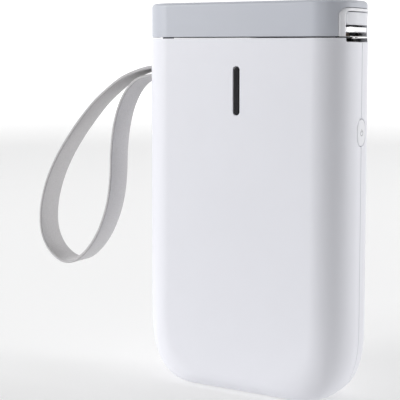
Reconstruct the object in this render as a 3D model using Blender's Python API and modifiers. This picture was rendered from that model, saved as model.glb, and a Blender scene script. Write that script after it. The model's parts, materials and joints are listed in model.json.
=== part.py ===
"""Pocket thermal label printer, standing on its foot.

X runs to the right, Y to the back and Z up. The origin is the middle of the foot. The case is two moulded
shells around a chassis that holds the label roll, the rubber platen and its gear train. A cap on a hinge
at the left carries the print head, the tear bar and the release button.
"""
import math

import bmesh
import bpy
from mathutils import Matrix, Vector

MM = 0.001

# Case form
WIDTH = 75.5 * MM
DEPTH = 28.2 * MM
HEIGHT = 130.0 * MM
SIDE_R = 11.5 * MM          # rounding of the long vertical edges
FOOT_R = 7.2 * MM           # rounding between the faces and the foot
CORNER_RX = 17.8 * MM       # lower corners, across
CORNER_RZ = 25.9 * MM       # lower corners, up
CORNER_POWER = 2.7          # how square the lower corners are
WALL = 1.8 * MM
SEAM_Z = 118.4 * MM         # middle of the gap between case and cap
GAP = 0.3 * MM              # gap between pieces that lie against each other
HALF_GAP = GAP / 2
SNUG = 0.05 * MM            # clearance round a pin that holds still
FREE = 0.08 * MM            # clearance round a pin that turns
THROUGH = 12 * MM           # reach of a tool that cuts right through the insides
REAR_CUT = (5 * MM, 12 * MM)    # reach of a tool that cuts the rear plate or a gear
END_CUT = (33 * MM, 45 * MM)    # reach of a tool that cuts an end wall
EXIT_CUT = (28 * MM, 45 * MM)   # reach of a tool that shapes the exit in the cap

# Cap
CAP_INSET = 0.25 * MM
CAP_WALL = 1.2 * MM
CAP_TOP_WALL = 1.4 * MM
CAP_EDGE_R = 1.3 * MM
CAP_Z = SEAM_Z + 0.2 * MM
CASE_TOP = SEAM_Z - 0.2 * MM

# Hinge of the cap
HINGE_X = -34.9 * MM
HINGE_Z = 121.3 * MM
HINGE_PIN_R = 0.5 * MM
HINGE_BARREL_R = 1.3 * MM
HINGE_PIN_HALF = 4.9 * MM
POST_HALF = 2.0 * MM
EAR_Y0 = 2.35 * MM
EAR_Y1 = 4.6 * MM

# Label exit in the right end
EXIT_HALF = 8.8 * MM
EXIT_FRAME_HALF = 10.6 * MM
EXIT_FRAME_TOP = 127.5 * MM
EXIT_INNER_TOP = 126.45 * MM
EXIT_LIP_Z = 116.9 * MM
TEAR_Z0 = 119.8 * MM
TEAR_Z1 = 121.6 * MM
BUTTON_Z0 = 122.2 * MM

# Label feed
TAPE_HALF = 7.4 * MM
TAPE_T = 0.2 * MM
TAPE_Z = 118.5 * MM
TAPE_END_X = 36.6 * MM
PLATEN_X = 27.6 * MM
PLATEN_Z = 115.8 * MM
PLATEN_R = 2.6 * MM
PLATEN_HALF = 7.6 * MM
SHAFT_R = 1.0 * MM
BUSH_R = 1.65 * MM
ROLL_X = -9.0 * MM
ROLL_Z = 100.5 * MM
ROLL_R = 17.0 * MM
CORE_R = 6.0 * MM
CORE_BORE_R = 5.0 * MM
ROLL_HALF = 7.2 * MM
BIN_R = 18.5 * MM
BIN_WALL = 1.2 * MM
PLATE_Y0 = 7.9 * MM
PLATE_Y1 = 9.1 * MM
PLATE_LOW = 93.2 * MM
PLATE_TOP = 113.5 * MM
PLATE_SHOULDER = 118.0 * MM
PLATE_RIGHT = 31.5 * MM

# Gear train
MODULE = 0.5 * MM
PLATEN_TEETH = 14
SMALL_TEETH = 12
LARGE_TEETH = 30
PINION_TEETH = 12
PRESSURE = math.radians(20)
BACKLASH = 0.06 * MM
SMALL_ANGLE = math.radians(-155)
PINION_ANGLE = math.radians(-80)
GEAR_INNER = (9.5 * MM, 10.5 * MM)
GEAR_OUTER = (10.7 * MM, 11.5 * MM)
SMALL_DISTANCE = MODULE * (PLATEN_TEETH + SMALL_TEETH) / 2
PINION_DISTANCE = MODULE * (LARGE_TEETH + PINION_TEETH) / 2
IDLER_X = PLATEN_X + SMALL_DISTANCE * math.cos(SMALL_ANGLE)
IDLER_Z = PLATEN_Z + SMALL_DISTANCE * math.sin(SMALL_ANGLE)
MOTOR_X = IDLER_X + PINION_DISTANCE * math.cos(PINION_ANGLE)
MOTOR_Z = IDLER_Z + PINION_DISTANCE * math.sin(PINION_ANGLE)
MOTOR_R = 7.5 * MM
MOTOR_Y0 = -6.4 * MM
MOTOR_SHAFT_R = 0.5 * MM
MOTOR_SCREW_OUT = 4.2 * MM
REDUCTION_PIN_R = 0.7 * MM

# Print head, hung from the cap
HEAD_PIVOT_X = 20.0 * MM
HEAD_PIVOT_Z = 123.6 * MM
HEAD_Z = 118.95 * MM
HEAD_PIN_R = 0.6 * MM
HEAD_TOP = 120.05 * MM
HEAD_SPREADER_Z = (120.15 * MM, 121.2 * MM)

# Power button in the right side
POWER_Z = 88.1 * MM
POWER_HALF_Y = 3.2 * MM
POWER_HALF_Z = 4.35 * MM

# Indicator slot in the front
SLOT_HALF_X = 1.05 * MM
SLOT_Z0 = 93.3 * MM
SLOT_Z1 = 109.0 * MM

# Strap
STRAP_HALF = 5.25 * MM
STRAP_T = 1.1 * MM
STRAP_BAR_X = -33.5 * MM
STRAP_BAR_Z = 107.0 * MM
STRAP_BAR_R = 0.7 * MM
POCKET_Z0 = 104.4 * MM
POCKET_Z1 = 109.6 * MM
POCKET_HALF = 6.2 * MM

# Fasteners and electronics
SCREW_X = 24.0 * MM
SCREW_ZS = (30.0 * MM, 76.0 * MM)
BOSS_Y = (1.0 * MM, 12.6 * MM)
BOSS_R = 2.3 * MM
PILOT_R = 0.98 * MM
SCREW_HOLE_R = 1.15 * MM
SINK_R = 2.15 * MM
SINK_Y = 12.2 * MM
USB_HALF = 4.45 * MM
USB_Y0 = 1.5 * MM
USB_Y1 = 4.7 * MM
BOARD_Y0 = 5.2 * MM
BOARD_Y1 = 6.4 * MM

ROUND = 32                  # sides of a medium cylinder

MATERIALS = {
    "case_plastic": ((0.76, 0.75, 0.79), 0.45, 0.0),
    "cap_plastic": ((0.54, 0.55, 0.60), 0.42, 0.0),
    "bezel_plastic": ((0.60, 0.60, 0.64), 0.2, 0.0),
    "button_plastic": ((0.52, 0.53, 0.58), 0.4, 0.0),
    "polished_steel": ((0.85, 0.85, 0.87), 0.15, 1.0),
    "plain_steel": ((0.55, 0.55, 0.57), 0.35, 1.0),
    "brass_gear": ((0.72, 0.53, 0.25), 0.3, 1.0),
    "black_rubber": ((0.02, 0.02, 0.022), 0.7, 0.0),
    "black_plastic": ((0.03, 0.03, 0.035), 0.25, 0.0),
    "chassis_plastic": ((0.06, 0.06, 0.065), 0.5, 0.0),
    "gear_plastic": ((0.75, 0.73, 0.68), 0.4, 0.0),
    "head_ceramic": ((0.55, 0.42, 0.33), 0.3, 0.0),
    "heatsink": ((0.62, 0.63, 0.65), 0.4, 1.0),
    "label_paper": ((0.88, 0.88, 0.87), 0.8, 0.0),
    "core_card": ((0.50, 0.38, 0.25), 0.85, 0.0),
    "board_green": ((0.02, 0.16, 0.08), 0.4, 0.0),
    "cell_wrap": ((0.35, 0.37, 0.42), 0.35, 0.0),
    "led_resin": ((0.80, 0.78, 0.60), 0.3, 0.0),
    "strap_band": ((0.62, 0.61, 0.62), 0.6, 0.0),
}


def clear_scene():
    for item in list(bpy.data.objects):
        bpy.data.objects.remove(item, do_unlink=True)


def make_collection(name):
    group = bpy.data.collections.new(name)
    bpy.context.scene.collection.children.link(group)
    return group


clear_scene()
PARTS = make_collection("thermal_label_printer")
CUTTERS = make_collection("cutters")


def material(name):
    found = bpy.data.materials.get(name)
    if found:
        return found
    colour, roughness, metallic = MATERIALS[name]
    made = bpy.data.materials.new(name)
    made.use_nodes = True
    shader = made.node_tree.nodes["Principled BSDF"]
    shader.inputs["Base Color"].default_value = (*colour, 1.0)
    shader.inputs["Roughness"].default_value = roughness
    shader.inputs["Metallic"].default_value = metallic
    made.diffuse_color = (*colour, 1.0)
    return made


def add_object(name, mesh, finish=None):
    """Link a mesh as a piece, or as a hidden tool when it has no finish."""
    item = bpy.data.objects.new(name, mesh)
    if finish:
        PARTS.objects.link(item)
        mesh.materials.clear()
        mesh.materials.append(material(finish))
    else:
        CUTTERS.objects.link(item)
        item.hide_render = True
        item.display_type = "WIRE"
    return item


def from_bmesh(name, shape, finish=None):
    bmesh.ops.recalc_face_normals(shape, faces=shape.faces)
    mesh = bpy.data.meshes.new(name)
    shape.to_mesh(mesh)
    shape.free()
    return add_object(name, mesh, finish)


def box(name, low, high, finish=None, bevel=0.0):
    """A block between two corners, with its edges rounded when bevel is given."""
    shape = bmesh.new()
    size = [b - a for a, b in zip(low, high)]
    middle = [(a + b) / 2 for a, b in zip(low, high)]
    bmesh.ops.create_cube(shape, size=1.0)
    bmesh.ops.scale(shape, vec=size, verts=shape.verts)
    bmesh.ops.translate(shape, vec=middle, verts=shape.verts)
    item = from_bmesh(name, shape, finish)
    if bevel:
        round_edges(item, bevel)
    return item


def round_edges(item, width, segments=2):
    rounding = item.modifiers.new("edges", "BEVEL")
    rounding.width = width
    rounding.segments = segments
    rounding.limit_method = "ANGLE"
    rounding.angle_limit = math.radians(40)


def rod(name, start, end, radius, finish=None, sides=ROUND):
    """A cylinder between two points."""
    start, end = Vector(start), Vector(end)
    along = end - start
    shape = bmesh.new()
    bmesh.ops.create_cone(
        shape, cap_ends=True, segments=sides, radius1=radius, radius2=radius, depth=along.length)
    turn = Vector((0, 0, 1)).rotation_difference(along).to_matrix().to_4x4()
    bmesh.ops.transform(shape, matrix=Matrix.Translation((start + end) / 2) @ turn, verts=shape.verts)
    return from_bmesh(name, shape, finish)


def rod_y(name, x, z, y0, y1, radius, finish=None, sides=ROUND):
    return rod(name, (x, y0, z), (x, y1, z), radius, finish, sides)


def prism(name, outline, axis, low, high, finish=None):
    """A flat outline given a thickness along X or Y.

    Along Y the outline's points are (x, z); along X they are (y, z).
    """
    curve = bpy.data.curves.new(name, "CURVE")
    curve.dimensions = "2D"
    curve.fill_mode = "BOTH"
    curve.extrude = (high - low) / 2
    spline = curve.splines.new("POLY")
    spline.points.add(len(outline) - 1)
    for point, (u, v) in zip(spline.points, outline):
        point.co = (u, v, 0, 1)
    spline.use_cyclic_u = True
    flat = bpy.data.objects.new(name + "_outline", curve)
    CUTTERS.objects.link(flat)
    bpy.context.view_layer.update()
    mesh = bpy.data.meshes.new_from_object(flat.evaluated_get(bpy.context.evaluated_depsgraph_get()))
    bpy.data.objects.remove(flat, do_unlink=True)
    middle = (low + high) / 2
    if axis == "Y":
        place = Matrix.Translation((0, middle, 0)) @ Matrix.Rotation(math.pi / 2, 4, "X")
    else:
        along_x = Matrix(((0, 0, 1, 0), (1, 0, 0, 0), (0, 1, 0, 0), (0, 0, 0, 1)))
        place = Matrix.Translation((middle, 0, 0)) @ along_x
    shape = bmesh.new()
    shape.from_mesh(mesh)
    bpy.data.meshes.remove(mesh)
    bmesh.ops.remove_doubles(shape, verts=shape.verts, dist=1e-6)
    bmesh.ops.transform(shape, matrix=place, verts=shape.verts)
    return from_bmesh(name, shape, finish)


def rounded_rectangle(half_u, v0, v1, radius, steps=5, lower=True):
    """Outline of a rectangle with round corners; the lower two stay square unless lower is set."""
    points = []
    corners = [(half_u, v1, 0), (-half_u, v1, 90), (-half_u, v0, 180), (half_u, v0, 270)]
    for u, v, start in corners:
        if v == v0 and not lower:
            points.append((u, v))
            continue
        cu = u - math.copysign(radius, u)
        cv = v - radius if v == v1 else v + radius
        for k in range(steps + 1):
            angle = math.radians(start + 90 * k / steps)
            points.append((cu + radius * math.cos(angle), cv + radius * math.sin(angle)))
    return points


def carve(item, tool, operation="DIFFERENCE"):
    change = item.modifiers.new(tool.name, "BOOLEAN")
    change.operation = operation
    change.object = tool
    change.solver = "EXACT"


def loft(name, rings, finish=None):
    """Skin a stack of rings that all have the same number of points."""
    shape = bmesh.new()
    rows = [[shape.verts.new(point) for point in ring] for ring in rings]
    count = len(rows[0])
    for below, above in zip(rows, rows[1:]):
        for k in range(count):
            n = (k + 1) % count
            shape.faces.new((below[k], below[n], above[n], above[k]))
    shape.faces.new(rows[0])
    shape.faces.new(rows[-1])
    return from_bmesh(name, shape, finish)


def side_drop(y, inset):
    """How far the side falls back at depth y."""
    radius = SIDE_R - inset
    out = max(abs(y) - (DEPTH / 2 - SIDE_R), 0.0)
    return radius - math.sqrt(max(radius ** 2 - out ** 2, 0.0))


def foot_drop(y, inset):
    radius = FOOT_R - inset
    out = max(abs(y) - (DEPTH / 2 - FOOT_R), 0.0)
    return radius - math.sqrt(max(radius ** 2 - out ** 2, 0.0))


def half_depth(z, inset):
    radius = FOOT_R - inset
    up = min(max(z - inset, 0.0), radius)
    return DEPTH / 2 - FOOT_R + math.sqrt(max(radius ** 2 - (radius - up) ** 2, 0.0))


def half_width(y, z, inset):
    """Half width of the case form at depth y and height z."""
    rx = CORNER_RX - inset
    rz = CORNER_RZ - inset - foot_drop(y, inset)
    t = min(max((CORNER_RZ - z) / rz, 0.0), 1.0)
    return WIDTH / 2 - inset - side_drop(y, inset) - rx * (1 - (1 - t ** CORNER_POWER) ** (1 / CORNER_POWER))


def case_ring(z, inset, steps=8):
    """One level line of the case form, all the way round."""
    deep = half_depth(z, inset)
    full = DEPTH / 2 - inset
    quarter = []
    for k in range(steps + 1):
        angle = math.pi / 2 * (1 - k / steps)
        y = ((DEPTH / 2 - SIDE_R) + (SIDE_R - inset) * math.sin(angle)) * deep / full
        quarter.append((half_width(y, z, inset), y))
    right_back = [(x, y, z) for x, y in quarter]
    right_front = [(x, -y, z) for x, y in reversed(quarter)]
    left_front = [(-x, -y, z) for x, y in quarter]
    left_back = [(-x, y, z) for x, y in reversed(quarter)]
    return right_back + right_front + left_front + left_back


def case_form(name, inset, top, finish=None, steps=14):
    """The solid inside the case's outer skin, or inside its walls when inset is given."""
    levels = []
    for k in range(steps):
        angle = math.pi / 2 * (1 - k / steps)
        levels.append(inset + (CORNER_RZ - inset) * (1 - math.sin(angle) ** (2 / CORNER_POWER)))
    levels += [CORNER_RZ, top]
    return loft(name, [case_ring(z, inset) for z in levels], finish)


def plan_ring(z, inset, steps=8):
    """The case's plan outline at any height, moved in by inset."""
    radius = SIDE_R - inset
    points = []
    for sx, sy, start in ((1, 1, 0), (-1, 1, 90), (-1, -1, 180), (1, -1, 270)):
        for k in range(steps + 1):
            angle = math.radians(start + 90 * k / steps)
            x = sx * (WIDTH / 2 - SIDE_R) + radius * math.cos(angle)
            y = sy * (DEPTH / 2 - SIDE_R) + radius * math.sin(angle)
            points.append((x, y, z))
    return points


def plan_block(name, inset, z0, z1, finish=None):
    return loft(name, [plan_ring(z0, inset), plan_ring(z1, inset)], finish)


# ------------------------------------------------------------------ case
def case_shell(name, front):
    """One half of the case: the form, hollowed, cut at the seam and with its openings."""
    shell = case_form(name, 0.0, CASE_TOP, "case_plastic")
    carve(shell, case_form(name + "_hollow", WALL, HEIGHT))
    side = -1 if front else 1
    for number, (x, z) in enumerate(screw_places()):
        boss = rod_y(f"{name}_boss_{number}", x, z, side * BOSS_Y[0], side * BOSS_Y[1], BOSS_R, sides=20)
        carve(shell, boss, "UNION")
    keep_y = sorted((side * HALF_GAP, side * DEPTH))
    carve(shell, box(name + "_half", (-WIDTH, keep_y[0], -WALL), (WIDTH, keep_y[1], HEIGHT + WALL)), "INTERSECT")
    carve(shell, box(name + "_exit", (END_CUT[0], -EXIT_HALF, EXIT_LIP_Z), (END_CUT[1], EXIT_HALF, HEIGHT)))
    power = rounded_rectangle(POWER_HALF_Y + GAP / 2, POWER_Z - POWER_HALF_Z - GAP / 2,
                              POWER_Z + POWER_HALF_Z + GAP / 2, POWER_HALF_Y)
    carve(shell, prism(name + "_power", power, "X", *END_CUT))
    carve(shell, box(name + "_strap", (-END_CUT[1], -POCKET_HALF, POCKET_Z0),
                     (-END_CUT[0], POCKET_HALF, POCKET_Z1)))
    for number, (x, z) in enumerate(screw_places()):
        if front:
            carve(shell, rod_y(f"{name}_pilot_{number}", x, z, -8 * MM, 1 * MM, PILOT_R, sides=20))
        else:
            carve(shell, rod_y(f"{name}_hole_{number}", x, z, -1 * MM, 16 * MM, SCREW_HOLE_R, sides=20))
            carve(shell, rod_y(f"{name}_sink_{number}", x, z, SINK_Y, 16 * MM, SINK_R, sides=20))
    if front:
        slot = rounded_rectangle(SLOT_HALF_X + 0.1 * MM, SLOT_Z0 - 0.1 * MM, SLOT_Z1 + 0.1 * MM, SLOT_HALF_X)
        carve(shell, prism(name + "_slot", slot, "Y", -DEPTH / 2 - 2 * MM, -DEPTH / 2 + 3 * MM))
    else:
        port = prism(name + "_port", usb_outline(0.25 * MM, 1.7 * MM), "Y", -1 * MM, 3 * MM)
        stand_up(port)
        carve(shell, port)
    return shell


def usb_outline(grow, radius):
    """Outline of the USB socket in plan, moved out by grow."""
    return rounded_rectangle(USB_HALF + grow, USB_Y0 - grow, USB_Y1 + grow, radius)


def screw_places():
    return [(sx * SCREW_X, z) for sx in (-1, 1) for z in SCREW_ZS]


def turned(name, profile, finish, sides=16):
    """A solid of revolution about Z from (radius, height) points, its outer side running top to bottom."""
    mesh = bpy.data.meshes.new(name)
    mesh.from_pydata([(r, 0, z) for r, z in profile], [(k, k + 1) for k in range(len(profile) - 1)], [])
    item = add_object(name, mesh, finish)
    spin = item.modifiers.new("turn", "SCREW")
    spin.angle = 2 * math.pi
    spin.steps = sides
    spin.render_steps = sides
    spin.axis = "Z"
    spin.use_merge_vertices = True
    spin.merge_threshold = 0.00001
    return item


def machine_screw(name, place, head_r, head_h, shank_r, length):
    """A pan-head screw whose head faces +Y, with the top of the head at place."""
    x, y, z = place
    profile = [(0, 0), (head_r * 0.75, 0), (head_r, -head_h * 0.35), (head_r, -head_h),
               (shank_r, -head_h), (shank_r, -length), (0, -length - shank_r)]
    item = turned(name, profile, "plain_steel")
    item.location = place
    item.rotation_euler = (-math.pi / 2, 0, 0)
    bpy.context.view_layer.update()
    deep = head_h * 0.55
    for turn, (du, dv) in enumerate(((head_r * 0.62, 0.22 * MM), (0.22 * MM, head_r * 0.62))):
        carve(item, box(f"{name}_drive_{turn}", (x - du, y - deep, z - dv), (x + du, y + MM, z + dv)))
    return item


def case_screws():
    for number, (x, z) in enumerate(screw_places()):
        machine_screw(f"case_screw_{number + 1}", (x, DEPTH / 2 - GAP, z),
                      head_r=1.9 * MM, head_h=1.3 * MM, shank_r=0.9 * MM, length=18 * MM)


# ------------------------------------------------------------------ chassis and feed
def chassis_outline():
    """Side plate: round about the roll, then out to the platen and down past the motor."""
    radius = BIN_R + BIN_WALL
    rise = math.asin((PLATE_TOP - ROLL_Z) / radius)
    first = math.pi - rise
    last = math.radians(351)
    points = arc(ROLL_X, ROLL_Z, radius, first, last, 24)
    points += [(12.5 * MM, PLATE_LOW), (PLATE_RIGHT, PLATE_LOW), (PLATE_RIGHT, PLATE_SHOULDER - 2.4 * MM),
               (PLATE_RIGHT - 0.9 * MM, PLATE_SHOULDER), (24.5 * MM, PLATE_SHOULDER), (20.0 * MM, PLATE_TOP)]
    return points


def arc(x, z, radius, first, last, steps):
    """Points on a circle from one angle to another."""
    angles = [first + (last - first) * k / steps for k in range(steps + 1)]
    return [(x + radius * math.cos(a), z + radius * math.sin(a)) for a in angles]


def hinge_post():
    """Outline of the post that rises into the cap and is round at the pin."""
    back = 0.7 * MM
    low = PLATE_TOP - 1.5 * MM
    first = math.pi + math.acos(back / HINGE_BARREL_R)
    barrel = arc(HINGE_X, HINGE_Z, HINGE_BARREL_R, first, 0.0, 14)
    return [(HINGE_X + HINGE_BARREL_R, low), (HINGE_X - back, low)] + barrel


def chassis():
    """Two side plates joined by the roll bin's curved floor, with the hinge post at the left."""
    frame = prism("chassis", chassis_outline(), "Y", PLATE_Y0, PLATE_Y1, "chassis_plastic")
    carve(frame, prism("chassis_front_plate", chassis_outline(), "Y", -PLATE_Y1, -PLATE_Y0), "UNION")
    first, last = math.radians(145), math.radians(375)
    floor = arc(ROLL_X, ROLL_Z, BIN_R + BIN_WALL - 0.1 * MM, first, last, 26)
    floor += arc(ROLL_X, ROLL_Z, BIN_R, last, first, 26)
    carve(frame, prism("chassis_bin_floor", floor, "Y", -PLATE_Y0 - 0.5 * MM, PLATE_Y0 + 0.5 * MM), "UNION")
    carve(frame, box("chassis_arm", (-33.9 * MM, -4 * MM, 111.4 * MM), (-24.3 * MM, 4 * MM, 113.2 * MM)), "UNION")
    carve(frame, prism("chassis_post", hinge_post(), "Y", -POST_HALF, POST_HALF), "UNION")
    carve(frame, box("chassis_tie", (14 * MM, -PLATE_Y0 - 0.4 * MM, 93.5 * MM),
                     (31.2 * MM, PLATE_Y0 + 0.4 * MM, 94.4 * MM)), "UNION")
    lip = [(31.1 * MM, 115.2 * MM), (33.5 * MM, 115.2 * MM), (33.5 * MM, 117.2 * MM), (31.1 * MM, 116.7 * MM)]
    carve(frame, prism("chassis_lip", lip, "Y", -8.5 * MM, 8.5 * MM), "UNION")
    carve(frame, rod_y("chassis_pin_hole", HINGE_X, HINGE_Z, -THROUGH, THROUGH, HINGE_PIN_R + SNUG, sides=20))
    carve(frame, rod_y("chassis_bush_hole", PLATEN_X, PLATEN_Z, -THROUGH, THROUGH, BUSH_R + 0.1 * MM, sides=24))
    carve(frame, rod_y("chassis_motor_hole", MOTOR_X, MOTOR_Z, *REAR_CUT, 1.6 * MM, sides=24))
    carve(frame, rod_y("chassis_idler_hole", IDLER_X, IDLER_Z, *REAR_CUT, REDUCTION_PIN_R + FREE, sides=20))
    for number, (x, z) in enumerate(motor_screw_places()):
        carve(frame, rod_y(f"chassis_screw_hole_{number}", x, z, *REAR_CUT, 0.75 * MM, sides=16))
    return frame


def motor_screw_places():
    return [(MOTOR_X + side * MOTOR_SCREW_OUT, MOTOR_Z - MOTOR_SCREW_OUT) for side in (-1, 1)]


def gear_outline(teeth, centre_x, centre_z, first_tooth):
    """Involute gear: flanks from below the pitch circle to the tip, with a little play."""
    pitch = MODULE * teeth / 2
    base = pitch * math.cos(PRESSURE)
    tip = pitch + 0.8 * MODULE
    root = pitch - 1.1 * MODULE
    half = math.pi / (2 * teeth) - BACKLASH / (2 * pitch)
    involute = math.tan(PRESSURE) - PRESSURE
    flank_start = max(base, root + 0.1 * MODULE)
    points = []
    for tooth in range(teeth):
        middle = first_tooth + 2 * math.pi * tooth / teeth
        flank = []
        for k in range(3):
            radius = flank_start + (tip - flank_start) * k / 2
            roll = math.acos(min(base / radius, 1.0))
            flank.append((radius, half + involute - (math.tan(roll) - roll)))
        foot = flank[0][1]
        side = [(root, foot)] + flank
        around = [(radius, middle - angle) for radius, angle in side]
        around += [(radius, middle + angle) for radius, angle in reversed(side)]
        points += [(centre_x + r * math.cos(a), centre_z + r * math.sin(a)) for r, a in around]
    return points


def platen():
    rod_y("platen_shaft", PLATEN_X, PLATEN_Z, -9.6 * MM, 10.7 * MM, SHAFT_R, "plain_steel", 24)
    rubber = rod_y("platen_rubber", PLATEN_X, PLATEN_Z, -PLATEN_HALF, PLATEN_HALF, PLATEN_R,
                   "black_rubber", 40)
    carve(rubber, rod_y("platen_bore", PLATEN_X, PLATEN_Z, -THROUGH, THROUGH, SHAFT_R + SNUG, sides=24))
    wheel = prism("platen_gear", gear_outline(PLATEN_TEETH, PLATEN_X, PLATEN_Z, SMALL_ANGLE), "Y",
                  *GEAR_INNER, "gear_plastic")
    carve(wheel, rod_y("platen_gear_bore", PLATEN_X, PLATEN_Z, *REAR_CUT, SHAFT_R + SNUG, sides=24))
    for end, y0, y1 in (("front", -PLATE_Y1, -PLATE_Y0), ("rear", PLATE_Y0, PLATE_Y1)):
        bush = rod_y(f"platen_bush_{end}", PLATEN_X, PLATEN_Z, y0, y1, BUSH_R, "gear_plastic", 24)
        bore = rod_y(f"platen_bush_{end}_bore", PLATEN_X, PLATEN_Z, y0 - MM, y1 + MM, SHAFT_R + FREE, sides=24)
        carve(bush, bore)
    anchor_on_axis(("platen_shaft", "platen_rubber", "platen_gear"), PLATEN_X, PLATEN_Z)


def anchor_on_axis(names, x, z):
    """Put each turning piece's origin on its axis."""
    for name in names:
        item = bpy.data.objects[name]
        item.data.transform(Matrix.Translation((-x, 0, -z)))
        item.location = (x, 0, z)


def reduction_gear():
    facing_platen = SMALL_ANGLE + math.pi
    small = gear_outline(SMALL_TEETH, IDLER_X, IDLER_Z, facing_platen + math.pi / SMALL_TEETH)
    large = gear_outline(LARGE_TEETH, IDLER_X, IDLER_Z, PINION_ANGLE)
    wheel = prism("reduction_gear", large, "Y", *GEAR_OUTER, "gear_plastic")
    carve(wheel, prism("reduction_small", small, "Y", GEAR_INNER[0], GEAR_OUTER[0] + 0.3 * MM), "UNION")
    carve(wheel, rod_y("reduction_bore", IDLER_X, IDLER_Z, *REAR_CUT, REDUCTION_PIN_R + 0.1 * MM, sides=20))
    anchor_on_axis(("reduction_gear",), IDLER_X, IDLER_Z)
    rod_y("reduction_pin", IDLER_X, IDLER_Z, PLATE_Y0 + 0.1 * MM, 11.9 * MM, REDUCTION_PIN_R, "plain_steel", 20)


def motor():
    can = rod_y("drive_motor", MOTOR_X, MOTOR_Z, MOTOR_Y0, PLATE_Y0 - 0.2 * MM, MOTOR_R, "plain_steel", 40)
    carve(can, rod_y("drive_motor_nose", MOTOR_X, MOTOR_Z, 7 * MM, 8.6 * MM, 1.45 * MM, sides=24), "UNION")
    carve(can, rod_y("drive_motor_bore", MOTOR_X, MOTOR_Z, -2 * MM, 10 * MM, MOTOR_SHAFT_R + FREE, sides=20))
    for number, (x, z) in enumerate(motor_screw_places()):
        carve(can, rod_y(f"drive_motor_tap_{number}", x, z, 4 * MM, 10 * MM, 0.7 * MM, sides=16))
        machine_screw(f"motor_screw_{number + 1}", (x, PLATE_Y1 + MM, z),
                      head_r=1.2 * MM, head_h=0.8 * MM, shank_r=0.6 * MM, length=4.4 * MM)
    rod_y("motor_shaft", MOTOR_X, MOTOR_Z, -1.5 * MM, 11.8 * MM, MOTOR_SHAFT_R, "plain_steel", 20)
    facing = PINION_ANGLE + math.pi
    teeth = gear_outline(PINION_TEETH, MOTOR_X, MOTOR_Z, facing + math.pi / PINION_TEETH)
    pinion = prism("motor_pinion", teeth, "Y", *GEAR_OUTER, "brass_gear")
    carve(pinion, rod_y("motor_pinion_bore", MOTOR_X, MOTOR_Z, *REAR_CUT, MOTOR_SHAFT_R + SNUG, sides=20))
    anchor_on_axis(("motor_shaft", "motor_pinion"), MOTOR_X, MOTOR_Z)


def label_supply():
    """The wound labels on their core, and the tape's end lying over the platen to the exit."""
    core = rod_y("roll_core", ROLL_X, ROLL_Z, -ROLL_HALF, ROLL_HALF, CORE_R - 0.1 * MM, "core_card")
    carve(core, rod_y("roll_core_bore", ROLL_X, ROLL_Z, -THROUGH, THROUGH, CORE_BORE_R))
    wound = rod_y("label_roll", ROLL_X, ROLL_Z, -ROLL_HALF, ROLL_HALF, ROLL_R, "label_paper", 64)
    carve(wound, rod_y("label_roll_bore", ROLL_X, ROLL_Z, -THROUGH, THROUGH, CORE_R + SNUG))
    anchor_on_axis(("roll_core", "label_roll"), ROLL_X, ROLL_Z)
    for side, name in ((-1, "roll_spindle_front"), (1, "roll_spindle_rear")):
        rod_y(name, ROLL_X, ROLL_Z, side * 4.2 * MM, side * (PLATE_Y0 - 0.15 * MM), CORE_BORE_R - 0.4 * MM,
              "gear_plastic", 32)
    tape_top = [(ROLL_X + 2 * MM, ROLL_Z + ROLL_R + 0.35 * MM), (12 * MM, TAPE_Z - 0.1 * MM), (22 * MM, TAPE_Z),
                (TAPE_END_X, TAPE_Z)]
    outline = tape_top + [(x, z + TAPE_T) for x, z in reversed(tape_top)]
    prism("label_tape", outline, "Y", -TAPE_HALF, TAPE_HALF, "label_paper")


# ------------------------------------------------------------------ cap
def cap_shell():
    """The hinged cap: a shallow hollow lid with soft top edges, a hinge slot and the exit opening."""
    rings = [plan_ring(CAP_Z, CAP_INSET + 0.12 * MM), plan_ring(CAP_Z + 0.12 * MM, CAP_INSET)]
    for k in range(6):
        angle = math.pi / 2 * k / 5
        drop = CAP_EDGE_R * (1 - math.cos(angle))
        rings.append(plan_ring(HEIGHT - CAP_EDGE_R + CAP_EDGE_R * math.sin(angle), CAP_INSET + drop))
    cap = loft("cap_shell", rings, "cap_plastic")
    carve(cap, plan_block("cap_hollow", CAP_INSET + CAP_WALL, CAP_Z - MM, HEIGHT - CAP_TOP_WALL))
    for side in (-1, 1):
        ends = sorted((side * EAR_Y0, side * EAR_Y1))
        carve(cap, prism(f"cap_ear_{side}", hinge_ear(), "Y", *ends), "UNION")
    hole_half = HINGE_PIN_HALF + MM
    carve(cap, rod_y("cap_pin_hole", HINGE_X, HINGE_Z, -hole_half, hole_half, HINGE_PIN_R + FREE, sides=20))
    relief_r = 3.0 * MM
    relief_half = 8.2 * MM
    relief = box("cap_relief", (-END_CUT[1], -relief_half, CAP_Z - MM), (HINGE_X, relief_half, HINGE_Z))
    carve(relief, rod_y("cap_relief_round", HINGE_X, HINGE_Z, -THROUGH, THROUGH, relief_r, sides=64))
    carve(cap, relief)
    carve(cap, box("cap_post_slot", (-END_CUT[1], -POST_HALF - GAP, CAP_Z - MM),
                   (HINGE_X, POST_HALF + GAP, HINGE_Z + HINGE_BARREL_R + 0.4 * MM)))
    opening = rounded_rectangle(EXIT_FRAME_HALF + HALF_GAP, CAP_Z - MM, EXIT_FRAME_TOP + HALF_GAP, 2.6 * MM,
                                lower=False)
    carve(cap, prism("cap_exit", opening, "X", *EXIT_CUT))
    return cap


def hinge_ear():
    """Outline of a knuckle that hangs from the cap's top, round at the pin."""
    top = HEIGHT - CAP_TOP_WALL + 0.3 * MM
    barrel = arc(HINGE_X, HINGE_Z, HINGE_BARREL_R, math.pi, 2 * math.pi, 12)
    return [(HINGE_X + HINGE_BARREL_R, top), (HINGE_X - HINGE_BARREL_R, top)] + barrel


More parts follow.
